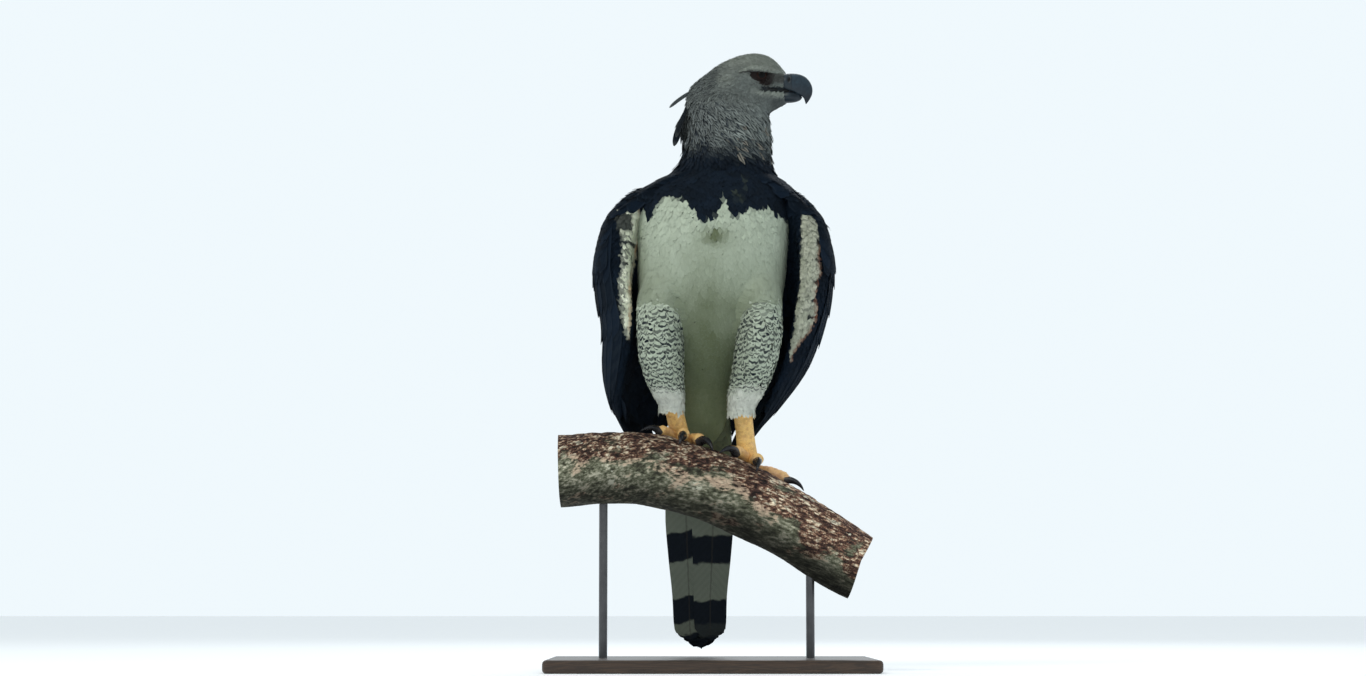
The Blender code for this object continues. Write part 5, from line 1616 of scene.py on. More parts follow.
def build_lids():
    """Lids: from an almond opening on the eyeball, a rounded rim, then outwards over the ball and down into
    the skin. Reach from the eye's centre grows with the share over the lid."""
    shells_points, shells_faces, start = [], [], 0
    turn = full_turn(72)
    c, s = np.cos(turn), np.sin(turn)
    opening = OPENING / np.sqrt((c / 1.0) ** 2 + (s / np.where(s > 0, OPENING_TOP, OPENING_BOTTOM)) ** 2)
    corners = 0.14 * spot((turn - math.pi) / 0.35)
    opening = opening * (1 + corners + 0.1 * spot(np.sin(turn / 2) / 0.2))
    for side in (1, -1):
        centre, out, along = eye_frame(side)
        polar = opening[None] + LID_SHARES[:, None] * LID_REACH
        reach = EYE_RADIUS * 1.02 + LID_LIFTS[:, None]
        flat = c[:, None] * along + s[:, None] * UP
        grid = centre + reach[..., None] * (np.cos(polar)[..., None] * out + np.sin(polar)[..., None] * flat)
        rows, cols = grid.shape[:2]
        ring, j = np.meshgrid(np.arange(rows - 1), np.arange(cols), indexing="ij")
        a, b = ring * cols + j, ring * cols + (j + 1) % cols
        quads = np.stack([a, b, b + cols, a + cols], axis=-1).reshape(-1, 4)
        if side > 0:
            quads = quads[:, ::-1]
        shells_points.append(grid.reshape(-1, 3))
        shells_faces.append(quads + start)
        start += rows * cols
    points = np.concatenate(shells_points)
    colour = mix(LID_DARK, LID_WARM, 0.35 + 0.35 * ripple(points, 0.006, 31))
    lids = make_piece("lids", points, [np.concatenate(shells_faces)], SKIN_LOOK, colour, sharp=None)
    put_in(lids, "head_grey")


def bill_rings(rows, count, sides, flat):
    """Rings between the ridge and the cutting edge, along smooth curves. The side towards the mouth is flat,
    with an edge along each cheek: there the width is |sin|^0.4, and |sin| elsewhere."""
    table = np.array([(*top, *low, wide) for top, low, wide in rows])
    share = (1 - np.cos(np.linspace(0, math.pi, count))) / 2 * 0.35 + np.linspace(0, 1, count) * 0.65
    read = by_share(table, share)
    turn = (np.arange(sides) + 0.5) * 2 * math.pi / sides
    up = (1 + np.cos(turn)) / 2
    boxy = np.cos(turn) * flat > 0
    across = np.sign(np.sin(turn)) * abs(np.sin(turn)) ** np.where(boxy, 0.4, 1.0)
    across = across * np.where(boxy, 1.0, 0.8 + 0.2 * abs(np.sin(turn)))
    s = read[:, 2:3] + (read[:, 0:1] - read[:, 2:3]) * up
    z = read[:, 3:4] + (read[:, 1:2] - read[:, 3:4]) * up
    q = read[:, 4:5] * across
    return s, q, z


# Colours of the bill and the mouth, and where the swollen cere ends, in s
BLUE_BLACK = np.array((0.006, 0.0105, 0.017))
# The pale blue of the painted highlight up the bill's ridge
RIDGE_HIGHLIGHT_BLUE = np.array((0.032, 0.056, 0.078))
CERE_GREY = np.array((0.013, 0.02, 0.026))
# Painted shade: black for the shade deep inside the nostrils
NOSTRIL_SHADE_BLACK = (0.002, 0.002, 0.002)
MOUTH_DARK, MOUTH_WARM = (0.006, 0.005, 0.005), (0.02, 0.01, 0.01)
CERE_EDGE = (0.0862, 0.0882)


def upper_bill_colour(points):
    """Blue black, paler blue up the ridge as a painted highlight with growth lines in it, a greyer cere with
    a dark rim, and nostrils painted black for the shade inside them.
    """
    s, q = head_from_world(points)
    z = points[:, 2]
    growth = 0.5 + 0.5 * np.sin(s * 1900 + (z - 0.9) * 1300 + 2.0 * ripple(points, 0.012, 43))
    share = np.clip(0.55 + 0.35 * ripple(points, 0.008, 41) + 0.12 * growth, 0, 1)
    # Painted highlight: the pale blue is strongest up the top of the bill and fades towards its cutting edge
    share = share * (0.25 + 0.75 * rise(z, 0.878, 0.912)) * (1 - 0.85 * rise(-z, -0.884, -0.872))
    colour = mix(BLUE_BLACK, RIDGE_HIGHLIGHT_BLUE, share)
    colour = mix(colour, CERE_GREY * 1.2, (1 - rise(s, *CERE_EDGE)) * 0.85)
    colour = mix(colour, BLUE_BLACK * 0.5, 0.6 * spot((s - 0.0876) / 0.0008))
    # The nostrils' openings are painted black as painted shade
    deep = spot((s - NOSTRIL[0]) / 0.0019, (z - NOSTRIL[2]) / 0.0034)
    return mix(colour, NOSTRIL_SHADE_BLACK, np.clip(1.8 * deep, 0, 1) * (abs(q) > 0.005))


def build_bill():
    """Upper bill with a swollen cere, nostrils pressed in and flat underneath, lower bill flat above, and the
    dark mouth between them."""
    s, q, z = bill_rings(UPPER_BILL, 72, 56, -1)
    q = q * (1 + 0.06 * (1 - rise(s, *CERE_EDGE)))
    hole = spot((s - NOSTRIL[0]) / 0.0019, (z - NOSTRIL[2]) / 0.0036)
    q = q - np.sign(q) * 0.0036 * hole * (abs(q) > 0.006)
    block, faces = joined([head_to_world(s, q, z)])
    colour = upper_bill_colour(block)
    put_in(make_piece("upper_bill", block, faces, BILL_LOOK, colour, sharp=50), "horn", "bill_upper")
    s, q, z = bill_rings(LOWER_BILL, 44, 40, 1)
    block, faces = joined([head_to_world(s, q, z)])
    # The lower bill is mottled at random between blue black and a dim share of the ridge's highlight blue
    colour = mix(BLUE_BLACK * 0.8, RIDGE_HIGHLIGHT_BLUE * 0.45, 0.5 + 0.5 * ripple(block, 0.01, 42))
    back = (1 - rise(head_from_world(block)[0], 0.072, 0.086)) * rise(block[:, 2], 0.878, 0.882)
    colour = mix(colour, CHEEK_GREY * 0.9, back * 0.7)
    put_in(make_piece("lower_bill", block, faces, BILL_LOOK, colour, sharp=50), "horn", "bill_lower")
    s = np.linspace(0.056, 0.096, 24)[:, None]
    wide = np.interp(s, (0.056, 0.078, 0.096), (0.012, 0.0105, 0.0036))
    middle = np.interp(s, (0.056, 0.084, 0.096), (0.8876, 0.8868, 0.8832))
    turn = full_turn(20)[None]
    block, faces = joined([head_to_world(s, wide * np.cos(turn), middle + 0.0022 * np.sin(turn))])
    colour = mix(MOUTH_DARK, MOUTH_WARM, 0.5 + 0.5 * ripple(block, 0.008, 44))
    put_in(make_piece("mouth", block, faces, SKIN_LOOK, colour, sharp=None), "horn")


# The lips' s and how far out they lie there
GAPE_LINE = ((0.041, 0.045, 0.058, 0.07, 0.078, 0.083), (0.0345, 0.0335, 0.0276, 0.02, 0.0138, 0.01))
# Each fold of the lips: height over the mouth's line, half thickness, share of black
LIP_FOLDS = ((0.0004, 0.0012, 1.0), (-0.0012, 0.0009, 0.0))
LIP_RINGS, LIP_SIDES = 34, 10
LIP_BLACK = (0.004, 0.004, 0.005)


def build_gape():
    """The lips: on each side a dark fold over a paler one, from the bill back to the mouth's corner."""
    shells, dark = [], []
    s = np.linspace(0.083, MOUTH_CORNER_S - 0.004, LIP_RINGS)
    ends = np.sqrt(np.clip(1 - np.linspace(-1, 1, LIP_RINGS) ** 4, 0.02, 1))
    for side in (1, -1):
        for rise_z, width, black in LIP_FOLDS:
            z = MOUTH_LINE_Z + rise_z + 0.0012 * rise(-s, -0.07, -0.045)
            path = head_to_world(s, side * np.interp(s, *GAPE_LINE), z)
            shells.append(tube_rings(path, width * ends, LIP_SIDES))
            dark.append(black)
    points, faces = joined(shells)
    colour = mix(CHEEK_GREY * 0.12, LIP_BLACK, np.repeat(dark, LIP_RINGS * LIP_SIDES + 2))
    put_in(make_piece("lips", points, faces, SKIN_LOOK, colour, sharp=None), "head_grey")


def head_lie(points):
    """Over the head the coat runs back from the bill, and lower down it also falls."""
    s, _ = head_from_world(points)
    back = -(head_to_world(1, 0, 0) - head_to_world(0, 0, 0))
    fall = 0.15 + 0.85 * (1 - rise(points[..., 2], 0.87, 0.925)) + 0.5 * rise(-s, 0.0, 0.05)
    return back + fall[..., None] * np.array((0.0, 0.0, -1.0))


def head_roots(levels, spacing):
    """Roots over the head, kept off the eye and the mouth's line, and where the neck is well under it."""
    s, turn = rows_on(head_over_neck, levels, spacing, -math.pi, math.pi, 0.3)
    here = head_over_neck(s, turn, 0 * s)
    bare = head(s, turn, 0 * s)
    z = here[:, 2]
    eye_s, _, eye_z = EYE_PLACE
    far_from_eye = np.hypot((s - eye_s) / 1.2, (z - eye_z) * 1.05) > 0.0108
    off_mouth = (abs(z - MOUTH_LINE_Z + 0.0004) > 0.0022) | (s < MOUTH_CORNER_S - 0.002)
    clear_of_neck = (trunk_reach(bare, 0.0)[0] > 1.1) | (z > 0.896)
    keep = far_from_eye & off_mouth & clear_of_neck
    return s[keep], turn[keep]


def build_head_coat(coat):
    """Small feathers of the face and crown, shortest by the bill, longer to the nape and over the neck."""
    levels = steps_down(0.0762, -0.074, lambda s: 0.0019 + 0.0018 * rise(-s, -0.05, 0.05))
    s, turn = head_roots(levels, lambda s: 0.0021 + 0.0017 * rise(-s, -0.05, 0.05))
    z = head_over_neck(s, turn, 0 * s)[:, 2]
    count = len(s)
    back, bill = rise(-s, -0.06, 0.06), rise(s, 0.052, 0.074)
    low = 1 - rise(z, 0.87, 0.895)
    length = (0.0078 + 0.011 * back - 0.0034 * bill) * (1 + 0.35 * low * back)
    length = length * random.uniform(0.85, 1.2, count)
    width = 0.0015 + 0.0014 * back - 0.0004 * bill
    near = 1 - rise(np.hypot(s - EYE_PLACE[0], z - EYE_PLACE[2]), 0.012, 0.024)
    tip = 0.0003 + 0.0006 * back - 0.0006 * near + 0.0004 * bill
    tip = tip + random.normal(0, 0.0002 + 0.0003 * back, count)
    root = 0.0004 - FACE_COAT + 0.0018 * bill
    length = length * (1 - 0.45 * near)
    points = lay(head_over_neck, s, turn, head_lie, length, width, root, tip, SMALL_VANE, *HEAD_FREEDOM)
    colours = head_colour(points[:, 3, 1]) * (1 + random.normal(0, 1, count) * (0.08 + 0.1 * back))[:, None]
    dark = rise(back, 0.3, 0.9) * random.uniform(0, 1, count) ** 2
    marks = 0, random.uniform(0.0, 0.25, count) * (1 - bill), 0.8 * rise(back, 0.35, 0.85)
    colours = mix(colours, NAPE_GREY, 0.75 * dark)
    coat.add(points, colours, marks, SMALL_VANE, (around(turn), s * 5 + 0.5), sound(points, length, width))


# The plumage over each brow reaches further down and out than the ridge under it: s, q, z, radius
BROW_COAT = (
    (0.074, 0.014, 0.9145, 0.0018), (0.062, 0.0262, 0.9172, 0.004),
    (0.048, 0.0345, 0.919, 0.0052), (0.031, 0.0395, 0.9188, 0.0046),
    (0.012, 0.043, 0.914, 0.0022),
)


def brow_surface(side):
    """A tube along the brow: its centre line + radius * (out * cos(turn) + up * sin(turn))."""
    out = head_to_world(0, side, 0) - head_to_world(0, 0, 0)

    def ridge(share, turn, height):
        rows = by_share(BROW_COAT, share)
        path = head_to_world(rows[..., 0], side * rows[..., 1], rows[..., 2])
        reach = (rows[..., 3] + height)[..., None]
        return path + reach * (out * np.cos(turn)[..., None] + UP * np.sin(turn)[..., None])

    return ridge


def brow_lie(points):
    """Back along the brow and a little down."""
    back = head_to_world(0, 0, 0) - head_to_world(1, 0, 0)
    return back + 0 * points - 0.12 * UP


def build_brow_coat(coat):
    """Feathers over the ridge of the brow, which keep to its tube and overhang the eye: pale above, and dark
    on the underside, partly the dark feathering round the eye and partly painted shade under the brow.
    """
    under, over = math.radians(-75), math.radians(165)
    for side in (1, -1):
        ridge = brow_surface(side)
        share, turn = rows_on(ridge, np.linspace(0.03, 0.93, 26), 0.0019, under, over, 0.2)
        count = len(share)
        length = random.uniform(0.006, 0.0085, count)
        tip = random.normal(0.0005, 0.0002, count)
        points = lay(ridge, share, turn, brow_lie, length, 0.0018, -0.0014, tip, SMALL_VANE, *BROW_FREEDOM)
        # Dark on the brow's underside over the eye: partly the dark feathering round the eye, partly painted
        # shade under the brow
        shade = mix(CROWN_GREY * 1.08, LORE_GREY, rise(-turn, 0.05, 0.85)) * tone(count, 0.1)
        marks = 0, random.uniform(0.1, 0.5, count) * (turn > 0), 0
        coat.add(points, shade, marks, SMALL_VANE, (turn / 6.3 + 0.5, share * 0.1 + 0.86))


def bent_path(root, middle, tip, t):
    """The curve root * (1 - t)^2 + 2 * middle * t * (1 - t) + tip * t^2, for arrays of feathers."""
    t = t[None, :, None]
    return root[:, None] * (1 - t) ** 2 + 2 * middle[:, None] * t * (1 - t) + tip[:, None] * t * t


def free_vanes(root, middle, tip, width, roll, camber=0.16):
    """Long vanes on curves of the head's own frame: width across each curve, rolled about it by an angle."""
    levels, widths, columns = LONG_VANE
    places = bent_path(root, middle, tip, levels)
    path = head_to_world(places[..., 0], places[..., 1], places[..., 2])
    along = unit(np.gradient(path, axis=1))
    side = head_to_world(0, 1, 0) - head_to_world(0, 0, 0) + 0 * along
    side = unit(side - along * (side * along).sum(-1, keepdims=True))
    normal = np.cross(along, side)
    roll = roll[:, None, None]
    side, normal = side * np.cos(roll) + normal * np.sin(roll), normal * np.cos(roll) - side * np.sin(roll)
    over = width[:, None, None] * widths[None, :, None] * columns
    crown = camber * width[:, None, None] * widths[None, :, None] * (1 - columns**2)
    return path[:, :, None] + side[:, :, None] * over[..., None] - normal[:, :, None] * crown[..., None]


# Crest feathers that stand away from the nape: root, middle and tip in s, q and z, half width, roll, shade
CREST_LOOSE = (
    ((-0.056, -0.012, 0.8985), (-0.082, -0.019, 0.889), (-0.104, -0.024, 0.8675), 0.003, 55, 0.55),
    ((-0.058, 0.008, 0.89), (-0.086, 0.011, 0.874), (-0.1056, 0.014, 0.842), 0.0022, 20, 0.9),
    ((-0.06, -0.004, 0.882), (-0.089, -0.01, 0.856), (-0.0995, -0.013, 0.809), 0.007, 45, 0.05),
    ((-0.058, -0.01, 0.886), (-0.084, -0.016, 0.864), (-0.095, -0.018, 0.822), 0.0055, 35, 0.2),
    ((-0.058, 0.014, 0.888), (-0.082, 0.02, 0.864), (-0.093, 0.026, 0.82), 0.006, -25, 0.15),
)
# Rows of the crest down the nape: s and z of their roots, how far they fall, s of their tips, feathers
CREST_ROWS = (
    (-0.03, 0.9235, 0.03, -0.052, 13), (-0.042, 0.915, 0.038, -0.06, 14),
    (-0.052, 0.905, 0.046, -0.066, 15), (-0.06, 0.893, 0.052, -0.07, 14),
    (-0.066, 0.88, 0.056, -0.072, 13), (-0.068, 0.866, 0.054, -0.071, 12),
)
CREST_WIDE = 0.04


def build_crest(coat):
    """The crest: loose dark feathers behind the head, and rows that lie over one another down the nape."""
    rows = np.array([(*a, *b, *c, w, r, shade) for a, b, c, w, r, shade in CREST_LOOSE])
    points = free_vanes(rows[:, 0:3], rows[:, 3:6], rows[:, 6:9], rows[:, 9], np.radians(rows[:, 10]))
    places = rows[:, 1] * 5 + 0.5, rows[:, 2] - 0.5
    coat.add(points, mix(SLATE, NAPE_GREY * 1.3, rows[:, 11]), (0.2, 0.35, 0), LONG_VANE, places)
    for level, (start_s, start_z, drop, reach, count) in enumerate(CREST_ROWS):
        k = (np.arange(count) + 0.5) / count * 2 - 1
        k = k + random.uniform(-0.04, 0.04, count)
        lean = abs(k) ** 1.7
        root_z = start_z - 0.03 * lean
        tip_s = reach - 0.018 + 0.052 * lean + random.normal(0, 0.0015, count)
        tip_z = start_z - drop - 0.03 * lean + random.normal(0, 0.005, count)
        root = stacked(start_s + 0.03 * lean, k * CREST_WIDE * 0.86, root_z)
        middle_z = root_z * 0.55 + tip_z * 0.45 + 0.006
        middle = stacked(reach - 0.02 + 0.044 * lean, k * (CREST_WIDE + 0.005), middle_z)
        tip = stacked(tip_s, k * (CREST_WIDE + 0.006), tip_z)
        width = random.uniform(0.0052, 0.0072, count)
        points = free_vanes(root, middle, tip, width, -0.5 * k + random.normal(0, 0.12, count))
        grey = mix(CHEEK_GREY, NAPE_GREY, min(1.0, 0.35 + 0.25 * level))
        colours = mix(grey, SLATE, random.uniform(0, 0.5, count))
        marks = 0, random.uniform(0.3, 0.9, count), 0
        places = k * 0.4 + 0.5, 0.1 + 0.03 * level
        coat.add(points, colours * tone(count, 0.1), marks, LONG_VANE, places)


# Body plumage


def down_and_out(points):
    """Down the body, parting a little from its middle line."""
    x, z = points[..., 0], points[..., 2]
    spread = 0.25 * np.clip(x / 0.1, -1, 1) * rise(z, 0.62, 0.7) * (1 - rise(z, 0.74, 0.77))
    return stacked(spread, 0, -1)


def collar_lie(points):
    """From the head's own lie down to a slant from the nape forward to the throat, and straight down at the
    neck's foot."""
    z = points[..., 2]
    slant = 0.95 * rise(z, 0.765, 0.815)
    fall = stacked(slant, -0.1 * slant, -1)
    return mix(unit(fall), unit(head_lie(points)), rise(z, 0.868, 0.892))


LOOSE_NECK_GREY = np.array((0.235, 0.222, 0.19))


def build_collar(coat):
    """The neck and the throat up to the head's own coat: short and fine at the throat, long with dark middles
    and loose tips towards the nape and down the sides."""

    def finer(size):
        return lambda z: size - 0.0012 * rise(z, 0.845, 0.885)

    levels = steps_down(0.9, 0.783, finer(0.0042))
    z, turn = rows_on(collar, levels, finer(0.0046), -math.pi, math.pi, 0.35)
    here = collar(z, turn, 0 * z)
    keep = (trunk_reach(here, 0.0)[0] < 1.14) & (z < 0.9)
    z, turn, here = z[keep], turn[keep], here[keep]
    count = len(z)
    front = rise(here[:, 0] - read_table(TRUNK, z)[:, 0], -0.045, 0.045)
    face = rise(z, 0.838, 0.88) * (0.35 + 0.65 * front)
    length = (0.027 - 0.0165 * face) * random.uniform(0.8, 1.2, count)
    width = (0.003 - 0.0013 * face) * random.uniform(0.85, 1.15, count)
    loose = random.uniform(0, 1, count) ** 6 * (1 - face)
    tip = 0.001 - 0.0006 * face + 0.005 * loose + random.normal(0, 0.0004, count) * (1 - face)
    points = lay(collar, z, turn, collar_lie, length, width, -0.0026, tip, BODY_VANE, *NECK_FREEDOM)
    colour = collar_colour(points[:, 4, 2])
    pick = random.uniform(0, 1, count)
    on_neck = rise(z, 0.785, 0.805) * (1 - face)
    colour = mix(colour, colour * 1.6 + 0.02, on_neck * rise(pick, 0.7, 0.8) * (0.35 + 0.65 * front))
    colour = mix(colour, SLATE, on_neck * (1 - rise(pick, 0.16, 0.26)) * (0.45 + 0.35 * (1 - front)))
    warm = (random.uniform(0, 1, count) > 0.88) & (z > 0.792) & (z < 0.85) & (front > 0.3)
    colour = np.where(warm[:, None], LOOSE_NECK_GREY, colour) * tone(count, 0.1)
    fringe = random.uniform(0.0, 0.3, count) * rise(z, 0.8, 0.83)
    marks = 0, fringe, np.clip(0.9 * on_neck + 0.3 * (1 - face), 0, 1)
    coat.add(points, colour, marks, BODY_VANE, (around(turn), (z - 0.3) / 0.62), sound(points, length, width))


# Batches of rows down the trunk: from, to, spacing, length, half width, form, spread of tones
BODY_PITCH = 0.005
BODY_BATCHES = (
    (0.793, 0.668, 0.0064, 0.025, 0.005, BODY_VANE, 0.06),
    (0.67, 0.352, 0.0058, 0.022, 0.0044, SMALL_VANE, 0.018),
)


def build_body_coats():
    """Neck, bib, breast, belly and mantle, in rows down the trunk."""
    coats = {name: Coat() for name in ("neck", "bib", "breast", "mantle")}
    build_collar(coats["neck"])
    for high, low, spacing, long, wide, form, spread in BODY_BATCHES:
        z, turn = rows_on(body, steps_down(high, low, lambda _: BODY_PITCH), spacing, -math.pi, math.pi, 0.35)
        rear = np.sin(turn)
        back = rise(rear, 0.2, 0.8)
        count = len(z)
        length = long * (1 + 0.6 * back) * random.uniform(0.85, 1.15, count)
        width = wide * (1 + 0.35 * back) * random.uniform(0.85, 1.15, count)
        smooth = (1 - back) * (form is SMALL_VANE)
        tip = random.normal(0, 1, count) * (0.0003 - 0.0002 * smooth) + 0.0004 + 0.0011 * back
        root = -0.0028 + 0.0013 * smooth
        crown = (0.11 + 0.06 * back)[:, None, None]
        points = lay(body, z, turn, down_and_out, length, width, root, tip, form, crown, *BREAST_FREEDOM)
        colour = trunk_colour(points[:, -2, points.shape[2] // 2])
        dark = (colour.mean(-1) < 0.08) | (rear > 0.45)
        dark = dark & ~((z < 0.66) & (rear < 0.3))
        colour = colour * tone(count, spread)
        marks = 0, np.where(dark, 0.25, 0.06), 0
        kinds = {"bib": dark & (rear <= 0.35), "mantle": dark & (rear > 0.35), "breast": ~dark}
        for name, chosen in kinds.items():
            if chosen.any():
                coats[name].add(points, colour, marks, form, (around(turn), (z - 0.3) / 0.62), chosen)
    return coats


# Rows of the thighs: from, to, number of rows, spacing, share of bars
THIGH_BATCHES = ((0.07, 0.83, 19, 0.0092, 1.0), (0.8, 1.0, 11, 0.006, 0.0))


def build_thigh_coats():
    """Thigh feathers in rows, each with its dark bars, ragged over the top of the leg."""
    for side in OUTWARD:
        coat = Coat()
        surface = thigh(side)
        for start, end, rows, step, barred in THIGH_BATCHES:
            share, turn = rows_on(surface, np.linspace(start, end, rows), step, -math.pi, math.pi, 0.32)
            count = len(share)
            length = np.interp(share, (0, 0.6, 0.8, 1), (0.028, 0.026, 0.021, 0.015))
            length = length * random.uniform(0.85, 1.15, count)
            width = np.interp(share, (0, 0.6, 1), (0.0074, 0.0066, 0.004)) * (0.8 + 0.2 * barred)
            tip = random.normal(0.0007, 0.0004, count)
            lie = (0.0, 0.02, -1.0)
            points = lay(surface, share, turn, lie, length, width, -0.0034, tip, BODY_VANE, *THIGH_FREEDOM)
            here = surface(share, turn, 0 * share)
            z = points[:, 4, 2, 2]
            away = abs(here[:, 0] - by_share(THIGHS[side], share)[:, 0])
            top = z + random.normal(0, 0.006, count) + 0.35 * away
            bars = barred * rise(z, 0.412, 0.43) * (1 - rise(top, 0.535, 0.558))
            bars = bars * random.uniform(0.7, 1.0, count)
            colours = thigh_colour(here) * tone(count, 0.05)
            coat.add(points, colours, (bars, 0.15, 0), BODY_VANE, (around(turn), share))
        put_in(coat.make("thigh_feathers_" + side, LOOKS["thigh_down"]), "barred", "thigh_" + side)


# The wings' tiers, from the lowest layer up: primaries, secondaries, greater, second and median coverts.
# Each: where the roots lie, tips from the front feather to the back one, across at root and at tip, heights
# over the arm at root and tip with the step from feather to feather, number of feathers, bars, fringe
TIERS = (
    (
        (0.5, (0.94, 0.985, 1.0, 0.975, 0.935, 0.89), (0.07, 0.46), (0.14, 0.84)),
        ((0.0006, 0.002, 0.0006), 10, 0.5, 0.1),
    ),
    (
        (0.36, (0.7, 0.722, 0.742, 0.76, 0.778, 0.792, 0.8), (0.2, 0.95), (0.18, 0.94)),
        ((0.0016, 0.0054, 0.00018), 13, 0.5, 0.25),
    ),
    (
        (0.26, (0.5, 0.508, 0.515, 0.516, 0.515, 0.51, 0.505), (0.1, 0.96), (0.1, 0.94)),
        ((0.0014, 0.0062, 0.0001), 16, 0.25, 0.4),
    ),
    (
        (0.19, (0.405, 0.412, 0.418, 0.42, 0.418, 0.412, 0.405), (0.08, 0.96), (0.08, 0.95)),
        ((0.0012, 0.0068, 0.00008), 18, 0.1, 0.42),
    ),
    (
        (0.12, (0.32, 0.328, 0.334, 0.336, 0.334, 0.328, 0.32), (0.08, 0.94), (0.08, 0.94)),
        ((0.001, 0.0072, 0.00006), 18, 0.0, 0.42),
    ),
)
# The tiers that are quills, and how far up the coverts start, which leave the strip of the front edge bare
QUILL_TIERS = 2
COVERTS_FROM = 0.45
STRIP_ROOM = {"left": 0.225, "right": 0.12}


def tier_vanes(side, place_values, stack_values):
    """One tier: feather k of n spreads between its neighbours, across = start + (end - start) * (k + w) / n,
    on the wing's outer face, its front edge raised over the feather before it."""
    root, tips, across_root, across_tip = place_values
    (low, top, stack), count, _, _ = stack_values
    levels, widths, columns = LONG_VANE
    k = np.arange(count)[:, None, None]
    t = levels[None, :, None]
    w = columns[None, None, :]
    tip = np.interp(np.linspace(0, 1, count), np.linspace(0, 1, len(tips)), tips)
    tip = (tip + random.normal(0, 0.002, count))[:, None, None]
    spread = (k + w * widths[None, :, None] * 1.12) / (count - 1)
    first_root, first_tip = across_root[0], across_tip[0]
    if root < COVERTS_FROM:
        first_root, first_tip = STRIP_ROOM[side], STRIP_ROOM[side] - 0.015
    start = first_root + (across_root[1] - first_root) * spread
    end = first_tip + (across_tip[1] - first_tip) * spread
    across = np.clip(start + (end - start) * t, 0.0, 1.04)
    place = root + (tip - root) * (t - 0.05 * w * w * t * t)
    height = (low + (top - low) * t) * (0.45 + 0.55 * rise(spread, 0.0, 0.22))
    height = height + stack * k - 0.0012 * w * widths[None, :, None]
    height = height + 0.0007 * (1 - w * w) + 0.0006 * (abs(w) < 0.05)
    height = height - 0.0085 * (1 - rise(t, 0.0, 0.1))
    place, across, height = np.broadcast_arrays(place, across, height)
    points = wing_outer(side)(np.clip(place, 0, 1.0), across, height)
    return points if side == "left" else points[:, :, ::-1]


def build_wings():
    """Both wings: the tiers of long vanes, and the small coverts round them."""
    for side in OUTWARD:
        quills, coverts = Coat(), Coat()
        for number, (place_values, stack_values) in enumerate(TIERS):
            points = tier_vanes(side, place_values, stack_values)
            _, count, bars, fringe = stack_values
            colours = dark_tones(count)
            marks = bars, fringe * random.uniform(0.7, 1.3, count), 0
            places = (np.arange(count) + 0.5) / count, 0.1 + 0.15 * number
            gathered = quills if number < QUILL_TIERS else coverts
            gathered.add(points, colours, marks, LONG_VANE, places)
        add_lesser_coverts(side, coverts)
        add_under_coverts(side, coverts)
        add_shoulder_feathers(side, coverts)
        add_front_coverts(side, coverts)
        put_in(quills.make("flight_feathers_" + side, LOOKS["wing_vanes"]), "slate_black", "wing_" + side)
        put_in(coverts.make("wing_coverts_" + side, LOOKS["wing_vanes"]), "slate_black", "wing_" + side)


def wing_lie(side):
    """Down the arm, from the shoulder to the tip."""

    def lie(points):
        return stacked(-OUTWARD[side] * 0.25 * (1 - rise(points[..., 2], 0.5, 0.66)), 0.18, -1)

    return lie


def add_dark(coat, surface, roots, lie, size, heights, freedom, fringe, places, kept=None):
    """Dark vanes of one size (length, half width) and their heights (root, tip) on a surface. Those that the
    surface distorts are left out, unless all are kept."""
    points = lay(surface, *roots, lie, *size, *heights, BODY_VANE, *freedom)
    count = len(points)
    kept = sound(points, *size) if kept is None else kept
    coat.add(points, dark_tones(count), (0, random.uniform(*fringe, count), 0), BODY_VANE, places, kept)


def add_lesser_coverts(side, coat):
    """Small feathers in rows over the shoulder and the upper arm."""
    surface = wing_outer(side)
    place, across = rows_on(surface, np.linspace(0.02, 0.225, 17), 0.011, 0.1, 0.98, 0.22)
    length = np.interp(place, (0, 0.22), (0.024, 0.036)) * random.uniform(0.9, 1.1, len(place))
    width = np.interp(place, (0, 0.22), (0.0082, 0.011))
    tip = np.interp(place, (0, 0.05, 0.12, 0.22), (0.0004, 0.0012, 0.004, 0.008))
    size, heights, places = (length, width), (tip - 0.0042, tip), (across, place * 0.8)
    everything = slice(None)
    roots, lie = (place, across), wing_lie(side)
    add_dark(coat, surface, roots, lie, size, heights, LESSER_FREEDOM, (0.25, 0.5), places, everything)


def add_under_coverts(side, coat):
    """Plain dark feathers over the arm's inner face, down past the end of its flesh."""

    def surface(place, across, height):
        deep = wing_thickness(place, across) + wing_lining(place, across)
        return wing_sheet(side, place, across, -deep - height)

    place, across = rows_on(surface, np.linspace(0.1, 0.68, 30), 0.013, 0.12, 0.8, 0.25)
    size = random.uniform(0.036, 0.046, len(place)), 0.011
    places = across * 0.4 + 0.05, place * 0.2 + 0.75
    roots, lie, heights = (place, across), wing_lie(side), (-0.004, 0.0008)
    add_dark(coat, surface, roots, lie, size, heights, UNDER_FREEDOM, (0.1, 0.3), places)


# How far the shoulder feathers' arch is raised over the gap between mantle and wing
SHOULDER_LIFT = {"left": (0.004, 0.0, 0.01), "right": (-0.004, 0.0, 0.018)}


def shoulder(side):
    """Over the gap between mantle and wing: at a share from front to back, a curve from the trunk to the
    wing's outer face, with its middle raised."""

    def surface(run, share, height):
        run, share = matched(run, share)
        height = height + 0 * run
        turn = np.radians(-62 + 145 * share)
        start = trunk(0.762 + 0 * run, turn if side == "left" else math.pi - turn, height)
        end = wing_outer(side)(0.125 + 0.03 * np.sin(7 * share), 0.06 + 0.84 * share, height + 0.004)
        middle = (start + end) / 2 + np.array(SHOULDER_LIFT[side])
        t = run[..., None]
        return start * (1 - t) ** 2 + 2 * middle * t * (1 - t) + end * t * t

    return surface


